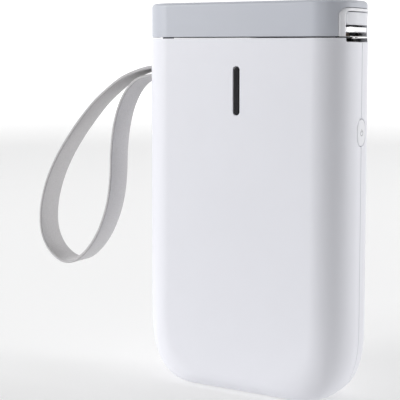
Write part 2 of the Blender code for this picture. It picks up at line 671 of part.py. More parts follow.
def end_band(name, outer, inner, z0, z1, finish=None):
    """A band that follows the cap's plan outline between two insets."""
    band = plan_block(name, outer, z0, z1, finish)
    carve(band, plan_block(name + "_inside", inner, z0 - MM, z1 + MM))
    return band


def exit_bezel():
    """The raised frame round the release button and the tear bar."""
    frame = end_band("exit_bezel", CAP_INSET - 0.3 * MM, CAP_INSET + 1.4 * MM, CAP_Z + 0.05 * MM, HEIGHT,
                     "bezel_plastic")
    outer = rounded_rectangle(EXIT_FRAME_HALF, CAP_Z - MM, EXIT_FRAME_TOP, 2.4 * MM, lower=False)
    carve(frame, prism("exit_bezel_outline", outer, "X", *EXIT_CUT), "INTERSECT")
    inner = rounded_rectangle(EXIT_HALF, CAP_Z - 2 * MM, EXIT_INNER_TOP, 1.3 * MM, lower=False)
    carve(frame, prism("exit_bezel_hole", inner, "X", *EXIT_CUT))
    return frame


def release_button():
    """The panel above the tear bar: pressed inwards, it frees the cap."""
    panel = end_band("release_button", CAP_INSET + 0.15 * MM, CAP_INSET + 1.9 * MM, BUTTON_Z0 - MM, HEIGHT,
                     "button_plastic")
    face = rounded_rectangle(EXIT_HALF - 0.2 * MM, BUTTON_Z0, EXIT_INNER_TOP - 0.2 * MM, 1.1 * MM)
    carve(panel, prism("release_face", face, "X", *EXIT_CUT), "INTERSECT")
    return panel


def latch():
    """The yoke behind the release button, with a hook each side of the tape."""
    yoke = box("latch_hook", (32.1 * MM, -8.3 * MM, 122.6 * MM), (33.3 * MM, 8.3 * MM, 125.9 * MM),
               "chassis_plastic")
    pad = box("latch_pad", (33.1 * MM, -4.5 * MM, 123.0 * MM), (35.1 * MM, 4.5 * MM, 125.5 * MM))
    carve(yoke, pad, "UNION")
    hook = [(32.1 * MM, 123.5 * MM), (32.1 * MM, 119.6 * MM), (31.6 * MM, 119.2 * MM), (32.1 * MM, 118.3 * MM),
            (33.1 * MM, 118.5 * MM), (33.1 * MM, 123.5 * MM)]
    for side in (-1, 1):
        ends = sorted((side * 7.75 * MM, side * 8.25 * MM))
        carve(yoke, prism(f"latch_arm_{side}", hook, "Y", *ends), "UNION")
    return yoke


def coil(name, start, end, radius, wire, turns, finish):
    """A compression spring between two points, with its end turns drawn close."""
    start, end = Vector(start), Vector(end)
    along = (end - start).normalized()
    across = along.orthogonal().normalized()
    other = along.cross(across)
    length = (end - start).length - wire
    curve = bpy.data.curves.new(name, "CURVE")
    curve.dimensions = "3D"
    curve.bevel_depth = wire / 2
    curve.bevel_resolution = 2
    curve.use_fill_caps = True
    count = turns * 9 + 1
    spline = curve.splines.new("POLY")
    spline.points.add(count - 1)
    for k, point in enumerate(spline.points):
        share = k / (count - 1)
        angle = 2 * math.pi * turns * share
        out = across * math.cos(angle) + other * math.sin(angle)
        point.co = (*(start + along * (wire / 2 + length * share) + out * radius), 1)
    item = bpy.data.objects.new(name, curve)
    PARTS.objects.link(item)
    curve.materials.append(material(finish))
    return item


def tear_bar():
    """A polished strip with a fine saw edge below."""
    pitch = 0.6 * MM
    half = EXIT_HALF - 0.2 * MM
    count = int(2 * half / pitch)
    outline = [(half, TEAR_Z1), (-half, TEAR_Z1)]
    for k in range(count + 1):
        y = -half + 2 * half * k / count
        outline.append((y, TEAR_Z0 + 0.25 * MM))
        if k < count:
            outline.append((y + half / count, TEAR_Z0))
    bar = prism("tear_bar", outline, "X", 33.6 * MM, END_CUT[1], "polished_steel")
    carve(bar, plan_block("tear_bar_face", CAP_INSET + 0.3 * MM, CAP_Z, HEIGHT), "INTERSECT")
    carve(bar, plan_block("tear_bar_back", CAP_INSET + 1.1 * MM, CAP_Z, HEIGHT))
    return bar


def cap_frame():
    """The moulding under the cap's top that carries the head's pivot and the release spring."""
    frame = box("cap_frame", (11 * MM, -10.4 * MM, 127.1 * MM), (29.5 * MM, 10.4 * MM, 128.3 * MM),
                "chassis_plastic")
    for side in (-1, 1):
        ends = sorted((side * 8.95 * MM, side * 9.95 * MM))
        ear = [(17.8 * MM, 127.3 * MM), (18.2 * MM, 122.6 * MM), (20 * MM, 121.9 * MM), (21.8 * MM, 122.6 * MM),
               (22.2 * MM, 127.3 * MM)]
        carve(frame, prism(f"cap_frame_ear_{side}", ear, "Y", ends[0], ends[1]), "UNION")
    stop = box("cap_frame_wall", (28.0 * MM, -6.0 * MM, 123.0 * MM), (29.2 * MM, 6.0 * MM, 127.3 * MM))
    carve(frame, stop, "UNION")
    carve(frame, rod_y("cap_frame_hole", HEAD_PIVOT_X, HEAD_PIVOT_Z, -THROUGH, THROUGH,
                       HEAD_PIN_R + FREE, sides=20))
    return frame


def print_head():
    """The head's ceramic strip under its heat spreader, which swings on a pin."""
    spreader_half = 8.4 * MM
    strip_half = 8.0 * MM
    low, high = HEAD_SPREADER_Z
    spreader = box("head_bracket", (18.4 * MM, -spreader_half, low), (30.2 * MM, spreader_half, high), "heatsink")
    for side in (-1, 1):
        ends = sorted((side * (spreader_half - 0.8 * MM), side * spreader_half))
        ear = [(18.4 * MM, 120.5 * MM), (21.6 * MM, 120.5 * MM), (21.3 * MM, 124.4 * MM), (20 * MM, 124.9 * MM),
               (18.7 * MM, 124.4 * MM)]
        carve(spreader, prism(f"head_ear_{side}", ear, "Y", ends[0], ends[1]), "UNION")
    carve(spreader, rod_y("head_hole", HEAD_PIVOT_X, HEAD_PIVOT_Z, -THROUGH, THROUGH,
                          HEAD_PIN_R + FREE, sides=20))
    strip = box("print_head", (24.6 * MM, -strip_half, HEAD_Z), (30.0 * MM, strip_half, HEAD_TOP), "head_ceramic")
    glaze = rod_y("print_head_glaze", PLATEN_X, HEAD_Z + 0.45 * MM, -7.5 * MM, 7.5 * MM, 0.6 * MM, sides=24)
    carve(strip, glaze, "UNION")
    rod_y("head_pivot_pin", HEAD_PIVOT_X, HEAD_PIVOT_Z, -9.9 * MM, 9.9 * MM, HEAD_PIN_R, "plain_steel", 20)
    coil("head_spring", (25 * MM, 0, high + 0.1 * MM), (25 * MM, 0, 127.0 * MM),
         radius=1.9 * MM, wire=0.4 * MM, turns=5, finish="plain_steel")
    anchor_on_axis(("head_bracket", "print_head"), HEAD_PIVOT_X, HEAD_PIVOT_Z)


# ------------------------------------------------------------------ controls and electronics
def power_button():
    """An oval key with a retaining flange inside the wall and a short stem."""
    low, high = POWER_Z - POWER_HALF_Z, POWER_Z + POWER_HALF_Z
    rim = 0.9 * MM
    face = rounded_rectangle(POWER_HALF_Y, low, high, POWER_HALF_Y - 0.05 * MM, steps=8)
    key = prism("power_button", face, "X", 35.0 * MM, 37.9 * MM, "button_plastic")
    flange = rounded_rectangle(POWER_HALF_Y + rim, low - rim, high + rim, POWER_HALF_Y + rim - 0.1 * MM, steps=8)
    carve(key, prism("power_flange", flange, "X", 34.4 * MM, 35.5 * MM), "UNION")
    stem = rod("power_stem", (33.7 * MM, 0, POWER_Z), (34.8 * MM, 0, POWER_Z), 1.0 * MM, sides=20)
    carve(key, stem, "UNION")
    switch = box("power_switch", (28.6 * MM, -1.8 * MM, POWER_Z - 2.6 * MM),
                 (32.0 * MM, 4.9 * MM, POWER_Z + 2.6 * MM), "black_plastic")
    plunger = rod("power_plunger", (31 * MM, 0, POWER_Z), (32.7 * MM, 0, POWER_Z), 1.2 * MM, sides=20)
    carve(switch, plunger, "UNION")


def electronics():
    """The board with its tongue down to the socket, the cell in front of it, the socket and the lamp."""
    half, low = 20.5 * MM, 22 * MM
    tongue, tongue_low = 8 * MM, 3.2 * MM
    arm_x0, arm_x1 = 13.4 * MM, 31.8 * MM
    arm_low, top = 79.3 * MM, 92.6 * MM
    board = [(-half, low), (-tongue, low), (-tongue, tongue_low), (tongue, tongue_low), (tongue, low), (half, low),
             (half, arm_low), (arm_x1, arm_low), (arm_x1, top), (arm_x0, top), (arm_x0, arm_low - GAP),
             (-half, arm_low - GAP)]
    prism("main_board", board, "Y", BOARD_Y0, BOARD_Y1, "board_green")
    box("battery_cell", (-half, -11 * MM, 23 * MM), (half, -1.4 * MM, 63 * MM), "cell_wrap", bevel=1.5 * MM)
    socket = prism("usb_socket", usb_outline(0.0, 1.5 * MM), "Y", 0.9 * MM, 8.2 * MM, "plain_steel")
    stand_up(socket)
    mouth = prism("usb_mouth", usb_outline(-0.3 * MM, 1.25 * MM), "Y", 0.0, 7.2 * MM)
    stand_up(mouth)
    carve(socket, mouth)
    carve(socket, box("usb_tongue", (-3.3 * MM, 2.75 * MM, 1.6 * MM), (3.3 * MM, 3.45 * MM, 7.6 * MM)), "UNION")
    box("indicator_board", (-5 * MM, -11.3 * MM, 91.5 * MM), (5 * MM, -10.4 * MM, 110.5 * MM), "board_green")
    box("indicator_led", (-0.8 * MM, -12.1 * MM, 99.5 * MM), (0.8 * MM, -11.5 * MM, 102.7 * MM), "led_resin")
    pane = rounded_rectangle(SLOT_HALF_X, SLOT_Z0, SLOT_Z1, SLOT_HALF_X - 0.02 * MM)
    prism("indicator_window", pane, "Y", -14.05 * MM, -12.3 * MM, "black_plastic")


def stand_up(item):
    """Turn a prism made along Y, with (x, y) as its outline, so that it stands along Z."""
    item.data.transform(Matrix(((1, 0, 0, 0), (0, 0, 1, 0), (0, 1, 0, 0), (0, 0, 0, 1))))
    item.data.flip_normals()


# ------------------------------------------------------------------ strap
STRAP_ROUTE = [(-33.0, 108.5), (-36.5, 108.5), (-40.0, 108.2), (-45.0, 106.9), (-51.0, 104.5), (-57.0, 100.6),
               (-63.5, 95.4), (-69.8, 88.8), (-75.4, 82.0), (-80.3, 75.0), (-84.2, 67.8), (-86.9, 60.4),
               (-88.2, 53.0), (-87.6, 45.8), (-84.3, 39.9), (-78.9, 36.4), (-73.4, 36.6), (-68.3, 40.0),
               (-63.6, 45.6), (-60.0, 52.4), (-57.4, 60.4), (-56.2, 69.0), (-55.8, 78.0), (-54.6, 86.8),
               (-52.4, 94.2), (-49.0, 100.2), (-44.6, 104.0), (-40.0, 105.3), (-36.5, 105.5), (-33.0, 105.5)]
STRAP_PER_SPAN = 2


def smooth_route(points, per_span):
    """A curve through all the points, by the tangents of their neighbours."""
    out = []
    for k in range(len(points) - 1):
        p0 = points[max(k - 1, 0)]
        p1, p2 = points[k], points[k + 1]
        p3 = points[min(k + 2, len(points) - 1)]
        for step in range(per_span):
            t = step / per_span
            out.append(tuple(
                0.5 * (2 * b + (c - a) * t + (2 * a - 5 * b + 4 * c - d) * t ** 2
                       + (3 * b - a - 3 * c + d) * t ** 3)
                for a, b, c, d in zip(p0, p1, p2, p3)))
    out.append(points[-1])
    return out


def strap():
    """A flat band in a hanging loop, both ends held in the pocket at the left."""
    line = [(x * MM, z * MM) for x, z in smooth_route(STRAP_ROUTE, STRAP_PER_SPAN)]
    outer, inner = [], []
    for k, (x, z) in enumerate(line):
        x0, z0 = line[max(k - 1, 0)]
        x1, z1 = line[min(k + 1, len(line) - 1)]
        length = math.hypot(x1 - x0, z1 - z0)
        nx, nz = (z1 - z0) / length, -(x1 - x0) / length
        outer.append((x + nx * STRAP_T / 2, z + nz * STRAP_T / 2))
        inner.append((x - nx * STRAP_T / 2, z - nz * STRAP_T / 2))
    prism("strap", outer + inner[::-1], "Y", -STRAP_HALF, STRAP_HALF, "strap_band")
    wall = 0.8 * MM
    half, low, high = POCKET_HALF + wall, 102.9 * MM, 110.9 * MM
    anchor = box("strap_anchor", (-34.6 * MM, -half, low), (-31.2 * MM, half, high), "chassis_plastic")
    carve(anchor, box("strap_anchor_hollow", (-END_CUT[1], -POCKET_HALF, low + wall),
                      (-31.2 * MM - wall, POCKET_HALF, high - wall)))
    for side in (-1, 1):
        ends = sorted((side * 6.0 * MM, side * 6.6 * MM))
        carve(anchor, rod_y(f"strap_anchor_hole_{side}", STRAP_BAR_X, STRAP_BAR_Z, *ends,
                            STRAP_BAR_R + FREE, sides=20))
    rod_y("strap_bar", STRAP_BAR_X, STRAP_BAR_Z, -6.5 * MM, 6.5 * MM, STRAP_BAR_R, "plain_steel", 20)


def build():
    case_shell("front_shell", True)
    case_shell("rear_shell", False)
    case_screws()
    chassis()
    platen()
    reduction_gear()
    motor()
    label_supply()
    cap_shell()
    rod_y("hinge_pin", HINGE_X, HINGE_Z, -HINGE_PIN_HALF, HINGE_PIN_HALF, HINGE_PIN_R, "plain_steel", 20)
    exit_bezel()
    release_button()
    latch()
    coil("release_spring", (29.4 * MM, 0, 124.3 * MM), (31.9 * MM, 0, 124.3 * MM),
         radius=1.3 * MM, wire=0.3 * MM, turns=4, finish="plain_steel")
    tear_bar()
    cap_frame()
    print_head()
    power_button()
    electronics()
    strap()


build()
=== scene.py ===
"""Looks of the pocket label printer: moulded case and cap, exit with its tear bar, strap and insides."""
import json
import math

import bmesh
import bpy
from mathutils import Matrix, Vector


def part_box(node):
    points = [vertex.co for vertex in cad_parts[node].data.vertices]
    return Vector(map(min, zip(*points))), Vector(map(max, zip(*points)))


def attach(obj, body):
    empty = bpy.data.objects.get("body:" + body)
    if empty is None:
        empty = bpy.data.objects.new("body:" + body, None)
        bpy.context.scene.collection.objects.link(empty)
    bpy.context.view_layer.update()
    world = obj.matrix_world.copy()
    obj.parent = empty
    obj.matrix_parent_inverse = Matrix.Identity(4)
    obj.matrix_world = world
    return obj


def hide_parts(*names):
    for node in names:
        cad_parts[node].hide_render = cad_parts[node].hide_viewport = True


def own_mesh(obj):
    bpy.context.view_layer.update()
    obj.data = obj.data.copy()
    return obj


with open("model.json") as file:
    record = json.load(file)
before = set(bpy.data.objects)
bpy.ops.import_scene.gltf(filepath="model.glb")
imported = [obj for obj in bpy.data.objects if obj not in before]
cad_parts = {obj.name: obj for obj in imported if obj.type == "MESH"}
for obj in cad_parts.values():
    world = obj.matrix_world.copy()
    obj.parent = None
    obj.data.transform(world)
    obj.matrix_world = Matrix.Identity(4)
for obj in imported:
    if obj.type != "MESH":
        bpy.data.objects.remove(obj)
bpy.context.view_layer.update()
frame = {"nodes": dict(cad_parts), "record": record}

MM = 0.001
NODES = frame["nodes"]

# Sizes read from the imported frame
SHELL_LOW, SHELL_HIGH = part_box("front_shell")
REAR_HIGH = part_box("rear_shell")[1]
CAP_LOW, CAP_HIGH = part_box("cap_shell")
WIDTH = SHELL_HIGH.x - SHELL_LOW.x
DEPTH = REAR_HIGH.y - SHELL_LOW.y
CASE_TOP = SHELL_HIGH.z
CAP_Z = CAP_LOW.z
HEIGHT = CAP_HIGH.z
CAP_INSET = (WIDTH - (CAP_HIGH.x - CAP_LOW.x)) / 2

# Roundings of the case
SIDE_R = 11.5 * MM
FOOT_R = 7.2 * MM
CORNER_RX = 17.8 * MM
CORNER_RZ = 25.9 * MM
CORNER_POWER = 2.7
WALL = 1.8 * MM
HALF_SEAM = 0.1 * MM

# Fineness of the case's form
RING_STEPS = 22             # points on a quarter of a level line
LEVELS = 34                 # level lines over the lower corners

# Reach of the tools that cut right through
WIDE = 50 * MM              # past both ends
DEEP = 20 * MM              # past the front and the back
BELOW = -10 * MM
ABOVE = 140 * MM
OPEN_TOP = 200 * MM         # top of a hollow that stays open above
END_CUT = (28 * MM, 45 * MM)


# ------------------------------------------------------------------ shader expressions
class Value:
    """A shader socket that can be used in Python arithmetic."""

    def __init__(self, surface, socket):
        self.surface = surface
        self.socket = socket

    def _math(self, operation, *terms):
        return self.surface.node("ShaderNodeMath", {"operation": operation}, dict(enumerate(terms)))

    def __add__(self, other):
        return self._math("ADD", self, other)

    def __sub__(self, other):
        return self._math("SUBTRACT", self, other)

    def __mul__(self, other):
        return self._math("MULTIPLY", self, other)

    def __rsub__(self, other):
        return self._math("SUBTRACT", other, self)

    __radd__ = __add__
    __rmul__ = __mul__

    def above(self, limit):
        return self._math("GREATER_THAN", self, limit)

    def clamped(self, low=0.0, high=1.0):
        return self.surface.node("ShaderNodeClamp", {}, {0: self, 1: low, 2: high})

    def sine(self):
        return self._math("SINE", self)


class Surface:
    """A material under construction."""

    def __init__(self, name, **constants):
        self.material = bpy.data.materials.new(name)
        self.material.use_nodes = True
        self.tree = self.material.node_tree
        self.shader = self.tree.nodes["Principled BSDF"]
        for socket, value in constants.items():
            self.shader.inputs[socket.replace("_", " ")].default_value = value

    def node(self, kind, settings=None, inputs=None, output=0):
        """Add a node: its settings first, then its sockets' values or links."""
        made = self.tree.nodes.new(kind)
        for name, value in (settings or {}).items():
            if name == "stops":
                self._stops(made.color_ramp, value)
            else:
                setattr(made, name, value)
        for key, value in (inputs or {}).items():
            self.feed(made.inputs[key], value)
        return Value(self, made.outputs[output])

    def _stops(self, ramp, stops):
        while len(ramp.elements) < len(stops):
            ramp.elements.new(0.5)
        for element, (place, colour) in zip(ramp.elements, stops):
            element.position = place
            element.color = (*colour, 1.0)

    def feed(self, socket, value):
        if isinstance(value, Value):
            self.tree.links.new(value.socket, socket)
        else:
            socket.default_value = value

    def place(self):
        """The point on the object, in metres."""
        return self.node("ShaderNodeTexCoord", {}, {}, "Object")

    def axis(self, letter):
        return self.node("ShaderNodeSeparateXYZ", {}, {0: self.place()}, letter)

    def stretched(self, scale):
        """The point scaled by a different amount along each axis."""
        return self.node("ShaderNodeVectorMath", {"operation": "MULTIPLY"}, {0: self.place(), 1: scale})

    def from_roll_axis(self):
        """The point measured from the label roll's axis, with no part along it."""
        low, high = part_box("label_roll")
        axis = (-(low.x + high.x) / 2, 0.0, -(low.z + high.z) / 2)
        moved = self.node("ShaderNodeVectorMath", {"operation": "ADD"}, {0: self.place(), 1: axis})
        return self.node("ShaderNodeVectorMath", {"operation": "MULTIPLY"}, {0: moved, 1: (1.0, 0.0, 1.0)})

    def noise(self, scale, detail=3.0, roughness=0.55, vector=None):
        return self.node("ShaderNodeTexNoise", {}, {
            "Vector": vector or self.place(), "Scale": scale, "Detail": detail, "Roughness": roughness})

    def cells(self, scale, feature="F1", vector=None):
        return self.node("ShaderNodeTexVoronoi", {"feature": feature}, {
            "Vector": vector or self.place(), "Scale": scale}, "Distance")

    def mix(self, share, first, second):
        """A colour between two colours."""
        colours = {6: solid(first), 7: solid(second)}
        return self.node("ShaderNodeMix", {"data_type": "RGBA"}, {0: share, **colours}, 2)

    def ramp(self, value, stops):
        return self.node("ShaderNodeValToRGB", {"stops": stops}, {0: value})

    def colour(self, value):
        self.feed(self.shader.inputs["Base Color"], solid(value))

    def rough(self, value):
        self.feed(self.shader.inputs["Roughness"], value)

    def bump(self, height, distance, strength=1.0):
        inputs = {"Strength": strength, "Distance": distance, "Height": height}
        self.feed(self.shader.inputs["Normal"], self.node("ShaderNodeBump", {}, inputs))

    def glow(self, value):
        self.feed(self.shader.inputs["Emission Color"], value)


def solid(colour):
    """A plain colour with its alpha; a linked colour passes through."""
    return (*colour, 1.0) if isinstance(colour, tuple) and len(colour) == 3 else colour


def shade(colour, factor):
    """A colour made a little darker or lighter."""
    return tuple(min(c * factor, 1.0) for c in colour)


# ------------------------------------------------------------------ materials
def moulded_plastic(name, colour, roughness, grain=0.012 * MM, coat=0.0):
    """Spark-eroded moulded plastic: a fine even grain with slow, faint drifts in tone and gloss."""
    s = Surface(name, Coat_Weight=coat, Coat_Roughness=0.2, Specular_IOR_Level=0.42)
    drift = s.noise(45.0, 2.0)
    fine = s.noise(5200.0, 2.0, 0.6)
    s.colour(s.mix(drift, shade(colour, 0.985), shade(colour, 1.015)))
    s.rough(roughness - 0.03 + drift * 0.06 + fine * 0.03)
    s.bump(fine + s.cells(3600.0) * 0.5, grain)
    return s.material


def polished_metal(name, colour, roughness, along):
    """Bare metal with fine working lines, whose fineness along each axis is given."""
    s = Surface(name, Metallic=1.0)
    lines = s.noise(1.0, 3.0, 0.6, s.stretched(along))
    s.colour(s.mix(lines, shade(colour, 0.93), shade(colour, 1.04)))
    s.rough(roughness + lines * 0.12)
    s.bump(lines, 0.006 * MM)
    return s.material


def ground_rubber():
    """The platen's rubber, ground round its circumference."""
    s = Surface("ground_rubber", Specular_IOR_Level=0.35)
    lay = s.noise(1.0, 4.0, 0.6, s.stretched((900.0, 4200.0, 900.0)))
    s.colour(s.mix(lay, (0.012, 0.012, 0.014), (0.030, 0.030, 0.033)))
    s.rough(0.42 + lay * 0.2)
    s.bump(lay, 0.015 * MM)
    return s.material


def smoked_window():
    """Near-black lens with a faint haze in its gloss."""
    s = Surface("smoked_window", Specular_IOR_Level=0.3)
    haze = s.noise(700.0, 2.0)
    s.colour(s.mix(haze, (0.012, 0.012, 0.014), (0.018, 0.018, 0.021)))
    s.rough(0.16 + haze * 0.08)
    return s.material


def dark_nylon():
    """Glass-filled nylon: near black, with short pale fibres just under the skin."""
    s = Surface("dark_nylon")
    fibres = s.noise(1.0, 4.0, 0.7, s.stretched((5200.0, 900.0, 900.0)))
    s.colour(s.mix((fibres - 0.55).clamped() * 2.5, (0.030, 0.031, 0.034), (0.075, 0.077, 0.080)))
    s.rough(0.48 + fibres * 0.16)
    s.bump(fibres, 0.012 * MM)
    return s.material


def acetal():
    """Natural acetal of the gears and bushes: milky and slightly translucent."""
    s = Surface("acetal", Subsurface_Weight=0.15, Subsurface_Scale=0.4 * MM)
    cloud = s.noise(260.0, 3.0)
    s.colour(s.mix(cloud, (0.70, 0.68, 0.62), (0.80, 0.78, 0.73)))
    s.rough(0.33 + cloud * 0.1)
    s.bump(s.noise(3200.0, 2.0), 0.006 * MM)
    return s.material


def head_glaze():
    """The head's ceramic under its glass glaze, finely speckled."""
    s = Surface("head_glaze", Coat_Weight=0.5, Coat_Roughness=0.08)
    speck = s.cells(1500.0)
    s.colour(s.mix(speck, (0.44, 0.33, 0.26), (0.60, 0.47, 0.37)))
    s.rough(0.22 + speck * 0.15)
    return s.material


def label_paper():
    """Thermal paper: clean white face with a faint fibre tone."""
    s = Surface("label_paper")
    fibre = s.noise(1.0, 5.0, 0.65, s.stretched((1400.0, 600.0, 1400.0)))
    s.colour(s.mix(fibre, (0.80, 0.80, 0.79), (0.90, 0.90, 0.89)))
    s.rough(0.62 + fibre * 0.15)
    s.bump(fibre, 0.008 * MM)
    return s.material


def wound_label_paper():
    """The roll: white turns whose edges show as fine rings on its end faces."""
    s = Surface("wound_label_paper")
    span = s.node("ShaderNodeVectorMath", {"operation": "LENGTH"}, {0: s.from_roll_axis()}, 1)
    turns = (span * 26000.0).sine() * 0.5 + 0.5
    uneven = s.noise(420.0, 3.0)
    s.colour(s.mix(turns * uneven, (0.72, 0.72, 0.70), (0.90, 0.90, 0.89)))
    s.rough(0.66 + uneven * 0.15)
    s.bump(turns, 0.02 * MM)
    return s.material


def kraft_card():
    """The roll core's brown card, with fibres along it."""
    s = Surface("kraft_card")
    fibre = s.noise(1.0, 5.0, 0.7, s.stretched((900.0, 2600.0, 900.0)))
    s.colour(s.ramp(fibre, [(0.3, (0.30, 0.21, 0.13)), (0.7, (0.52, 0.39, 0.26))]))
    s.rough(0.8 + fibre * 0.1)
    s.bump(fibre, 0.03 * MM)
    return s.material


def circuit_board():
    """Solder mask over copper: tracks show as slightly lighter ridges, with tinned pads."""
    s = Surface("circuit_board", Coat_Weight=0.3, Coat_Roughness=0.15)
    cells = s.cells(520.0, "DISTANCE_TO_EDGE")
    track = 1.0 - (cells * 14.0).clamped()
    pads = (s.cells(950.0) * -1.0 + 0.16).above(0.0)
    green = s.mix(track, (0.010, 0.085, 0.045), (0.022, 0.17, 0.085))
    s.colour(s.mix(pads, green, (0.62, 0.60, 0.55)))
    s.rough(0.34 - pads * 0.1)
    s.bump(track + pads, 0.035 * MM)
    return s.material


def foil_pouch():
    """The cell's laminated foil, with soft creases."""
    s = Surface("foil_pouch", Metallic=0.35)
    crease = s.noise(120.0, 4.0, 0.6)
    s.colour(s.mix(crease, (0.30, 0.32, 0.36), (0.42, 0.44, 0.48)))
    s.rough(0.36 + crease * 0.15)
    s.bump(crease, 0.12 * MM)
    return s.material


def lamp_resin():
    """The lamp's cloudy yellow resin."""
    s = Surface("lamp_resin", Coat_Weight=0.5)
    cloud = s.noise(900.0, 2.0)
    s.colour(s.mix(cloud, (0.72, 0.70, 0.50), (0.84, 0.82, 0.66)))
    s.rough(0.2 + cloud * 0.1)
    return s.material


def strap_weave():
    """Close-woven polyester tape: fine ribs across the band, with a faint melange."""
    s = Surface("strap_weave", Sheen_Weight=0.25, Sheen_Roughness=0.5)
    thread = (s.axis("Y") * 9000.0).sine() * 0.5 + 0.5
    tone = s.noise(1800.0, 4.0, 0.7)
    drift = s.noise(60.0, 2.0)
    mixed = (tone * 0.6 + thread * 0.25 + drift * 0.15).clamped()
    s.colour(s.ramp(mixed, [(0.25, (0.42, 0.412, 0.418)), (0.75, (0.60, 0.59, 0.60))]))
    s.rough(0.72 + tone * 0.15)
    s.bump(thread * 0.6 + tone * 0.6, 0.03 * MM)
    return s.material


def printed_ink():
    """The key's printed mark, slightly worn."""
    s = Surface("printed_ink")
    worn = s.noise(2200.0, 3.0)
    s.colour(s.mix(worn, (0.20, 0.20, 0.22), (0.27, 0.27, 0.29)))
    s.rough(0.5 + worn * 0.1)
    return s.material


def studio_paper():
    """White paper sweep: plain in front, faintly back-lit behind the object and bright on the far wall."""
    s = Surface("studio_paper", Specular_IOR_Level=0.1, Emission_Strength=0.75)
    tooth = s.noise(900.0, 3.0)
    s.colour(s.mix(tooth, (0.52, 0.52, 0.522), (0.55, 0.55, 0.552)))
    s.rough(0.9 + tooth * 0.05)
    wall = (s.axis("Z") * 12.0).clamped() * ((s.axis("Y") - 0.2) * 3.0).clamped()
    floor = ((s.axis("Y") + 0.2) * 6.0).clamped() * 0.53
    glow = (wall + floor).clamped()
    s.glow(s.mix(glow, (0.0, 0.0, 0.0), (1.0, 1.0, 1.0)))
    return s.material


CASE = (0.815, 0.82, 0.87)
CAP = (0.545, 0.565, 0.62)
case_plastic = moulded_plastic("case_plastic", CASE, 0.42)
cap_plastic = moulded_plastic("cap_plastic", CAP, 0.40)
bezel_plastic = moulded_plastic("bezel_plastic", (0.86, 0.865, 0.90), 0.22, 0.003 * MM, 0.4)
button_plastic = moulded_plastic("button_plastic", (0.76, 0.77, 0.81), 0.38)
key_plastic = moulded_plastic("key_plastic", (0.84, 0.845, 0.88), 0.40)
bright_steel = polished_metal("bright_steel", (0.92, 0.92, 0.93), 0.14, (40.0, 40.0, 1800.0))
plain_steel = polished_metal("plain_steel", (0.55, 0.55, 0.57), 0.3, (1800.0, 60.0, 1800.0))
gear_brass = polished_metal("gear_brass", (0.72, 0.53, 0.25), 0.26, (1600.0, 90.0, 1600.0))
spreader_metal = polished_metal("spreader_metal", (0.66, 0.67, 0.69), 0.32, (60.0, 2400.0, 60.0))
rubber = ground_rubber()
window_black = smoked_window()
nylon = dark_nylon()
gear_white = acetal()
ceramic = head_glaze()
paper = label_paper()
wound_paper = wound_label_paper()
card = kraft_card()
print_ink = printed_ink()
board = circuit_board()
pouch = foil_pouch()
resin = lamp_resin()
weave = strap_weave()
backdrop_paper = studio_paper()

NODE_FINISH = {
    "case_plastic": case_plastic, "cap_plastic": cap_plastic, "bezel_plastic": bezel_plastic,
    "button_plastic": button_plastic, "polished_steel": bright_steel, "plain_steel": plain_steel,
    "brass_gear": gear_brass, "black_rubber": rubber, "black_plastic": window_black,
    "chassis_plastic": nylon, "gear_plastic": gear_white, "head_ceramic": ceramic, "heatsink": spreader_metal,
    "label_paper": paper, "core_card": card, "board_green": board, "cell_wrap": pouch, "led_resin": resin,
    "strap_band": weave,
}


def finish_nodes():
    """Give every carried-over node the finish of its slot, and shade its round faces smooth."""
    for part in frame["record"]["subparts"]:
        node = NODES[part["node"]]
        node.data.materials.clear()
        node.data.materials.append(NODE_FINISH[part["material_slot"]])
        node.data.shade_smooth()
        node.data.set_sharp_from_angle(angle=math.radians(32))


# ------------------------------------------------------------------ shape helpers
def add_mesh(name, mesh, finish=None):
    item = bpy.data.objects.new(name, mesh)
    bpy.context.scene.collection.objects.link(item)
    if finish:
        mesh.materials.clear()
        mesh.materials.append(finish)
    return item


def from_bmesh(name, shape, finish=None):
    bmesh.ops.recalc_face_normals(shape, faces=shape.faces)
    mesh = bpy.data.meshes.new(name)
    shape.to_mesh(mesh)
    shape.free()
    return add_mesh(name, mesh, finish)


def loft(name, rings, finish=None, closed=False):
    """Skin a stack of rings; a closed stack joins its last ring to its first."""
    shape = bmesh.new()
    rows = [[shape.verts.new(point) for point in ring] for ring in rings]
    pairs = list(zip(rows, rows[1:])) + ([(rows[-1], rows[0])] if closed else [])
    count = len(rows[0])
    for below, above in pairs:
        for k in range(count):
            n = (k + 1) % count
            shape.faces.new((below[k], below[n], above[n], above[k]))
    if not closed:
        shape.faces.new(rows[0])
        shape.faces.new(rows[-1])
    return from_bmesh(name, shape, finish)


def box(name, low, high, finish=None):
    shape = bmesh.new()
    bmesh.ops.create_cube(shape, size=1.0)
    bmesh.ops.scale(shape, vec=[b - a for a, b in zip(low, high)], verts=shape.verts)
    bmesh.ops.translate(shape, vec=[(a + b) / 2 for a, b in zip(low, high)], verts=shape.verts)
    return from_bmesh(name, shape, finish)


def rod(name, start, end, radius, finish=None, sides=48):
    start, end = Vector(start), Vector(end)
    along = end - start
    shape = bmesh.new()
    bmesh.ops.create_cone(
        shape, cap_ends=True, segments=sides, radius1=radius, radius2=radius, depth=along.length)
    turn = Vector((0, 0, 1)).rotation_difference(along).to_matrix().to_4x4()
    bmesh.ops.transform(shape, matrix=Matrix.Translation((start + end) / 2) @ turn, verts=shape.verts)
    return from_bmesh(name, shape, finish)


def prism(name, outline, y0, y1):
    """A flat outline of (x, z) points given a thickness along Y."""
    return loft(name, [[(x, y, z) for x, z in outline] for y in (y0, y1)])


def full_turn(count):
    """Angles spread evenly over a whole turn."""
    return [2 * math.pi * k / count for k in range(count)]


def quarter_turn(steps):
    """Angles from zero to a right angle."""
    return [math.pi / 2 * k / steps for k in range(steps + 1)]


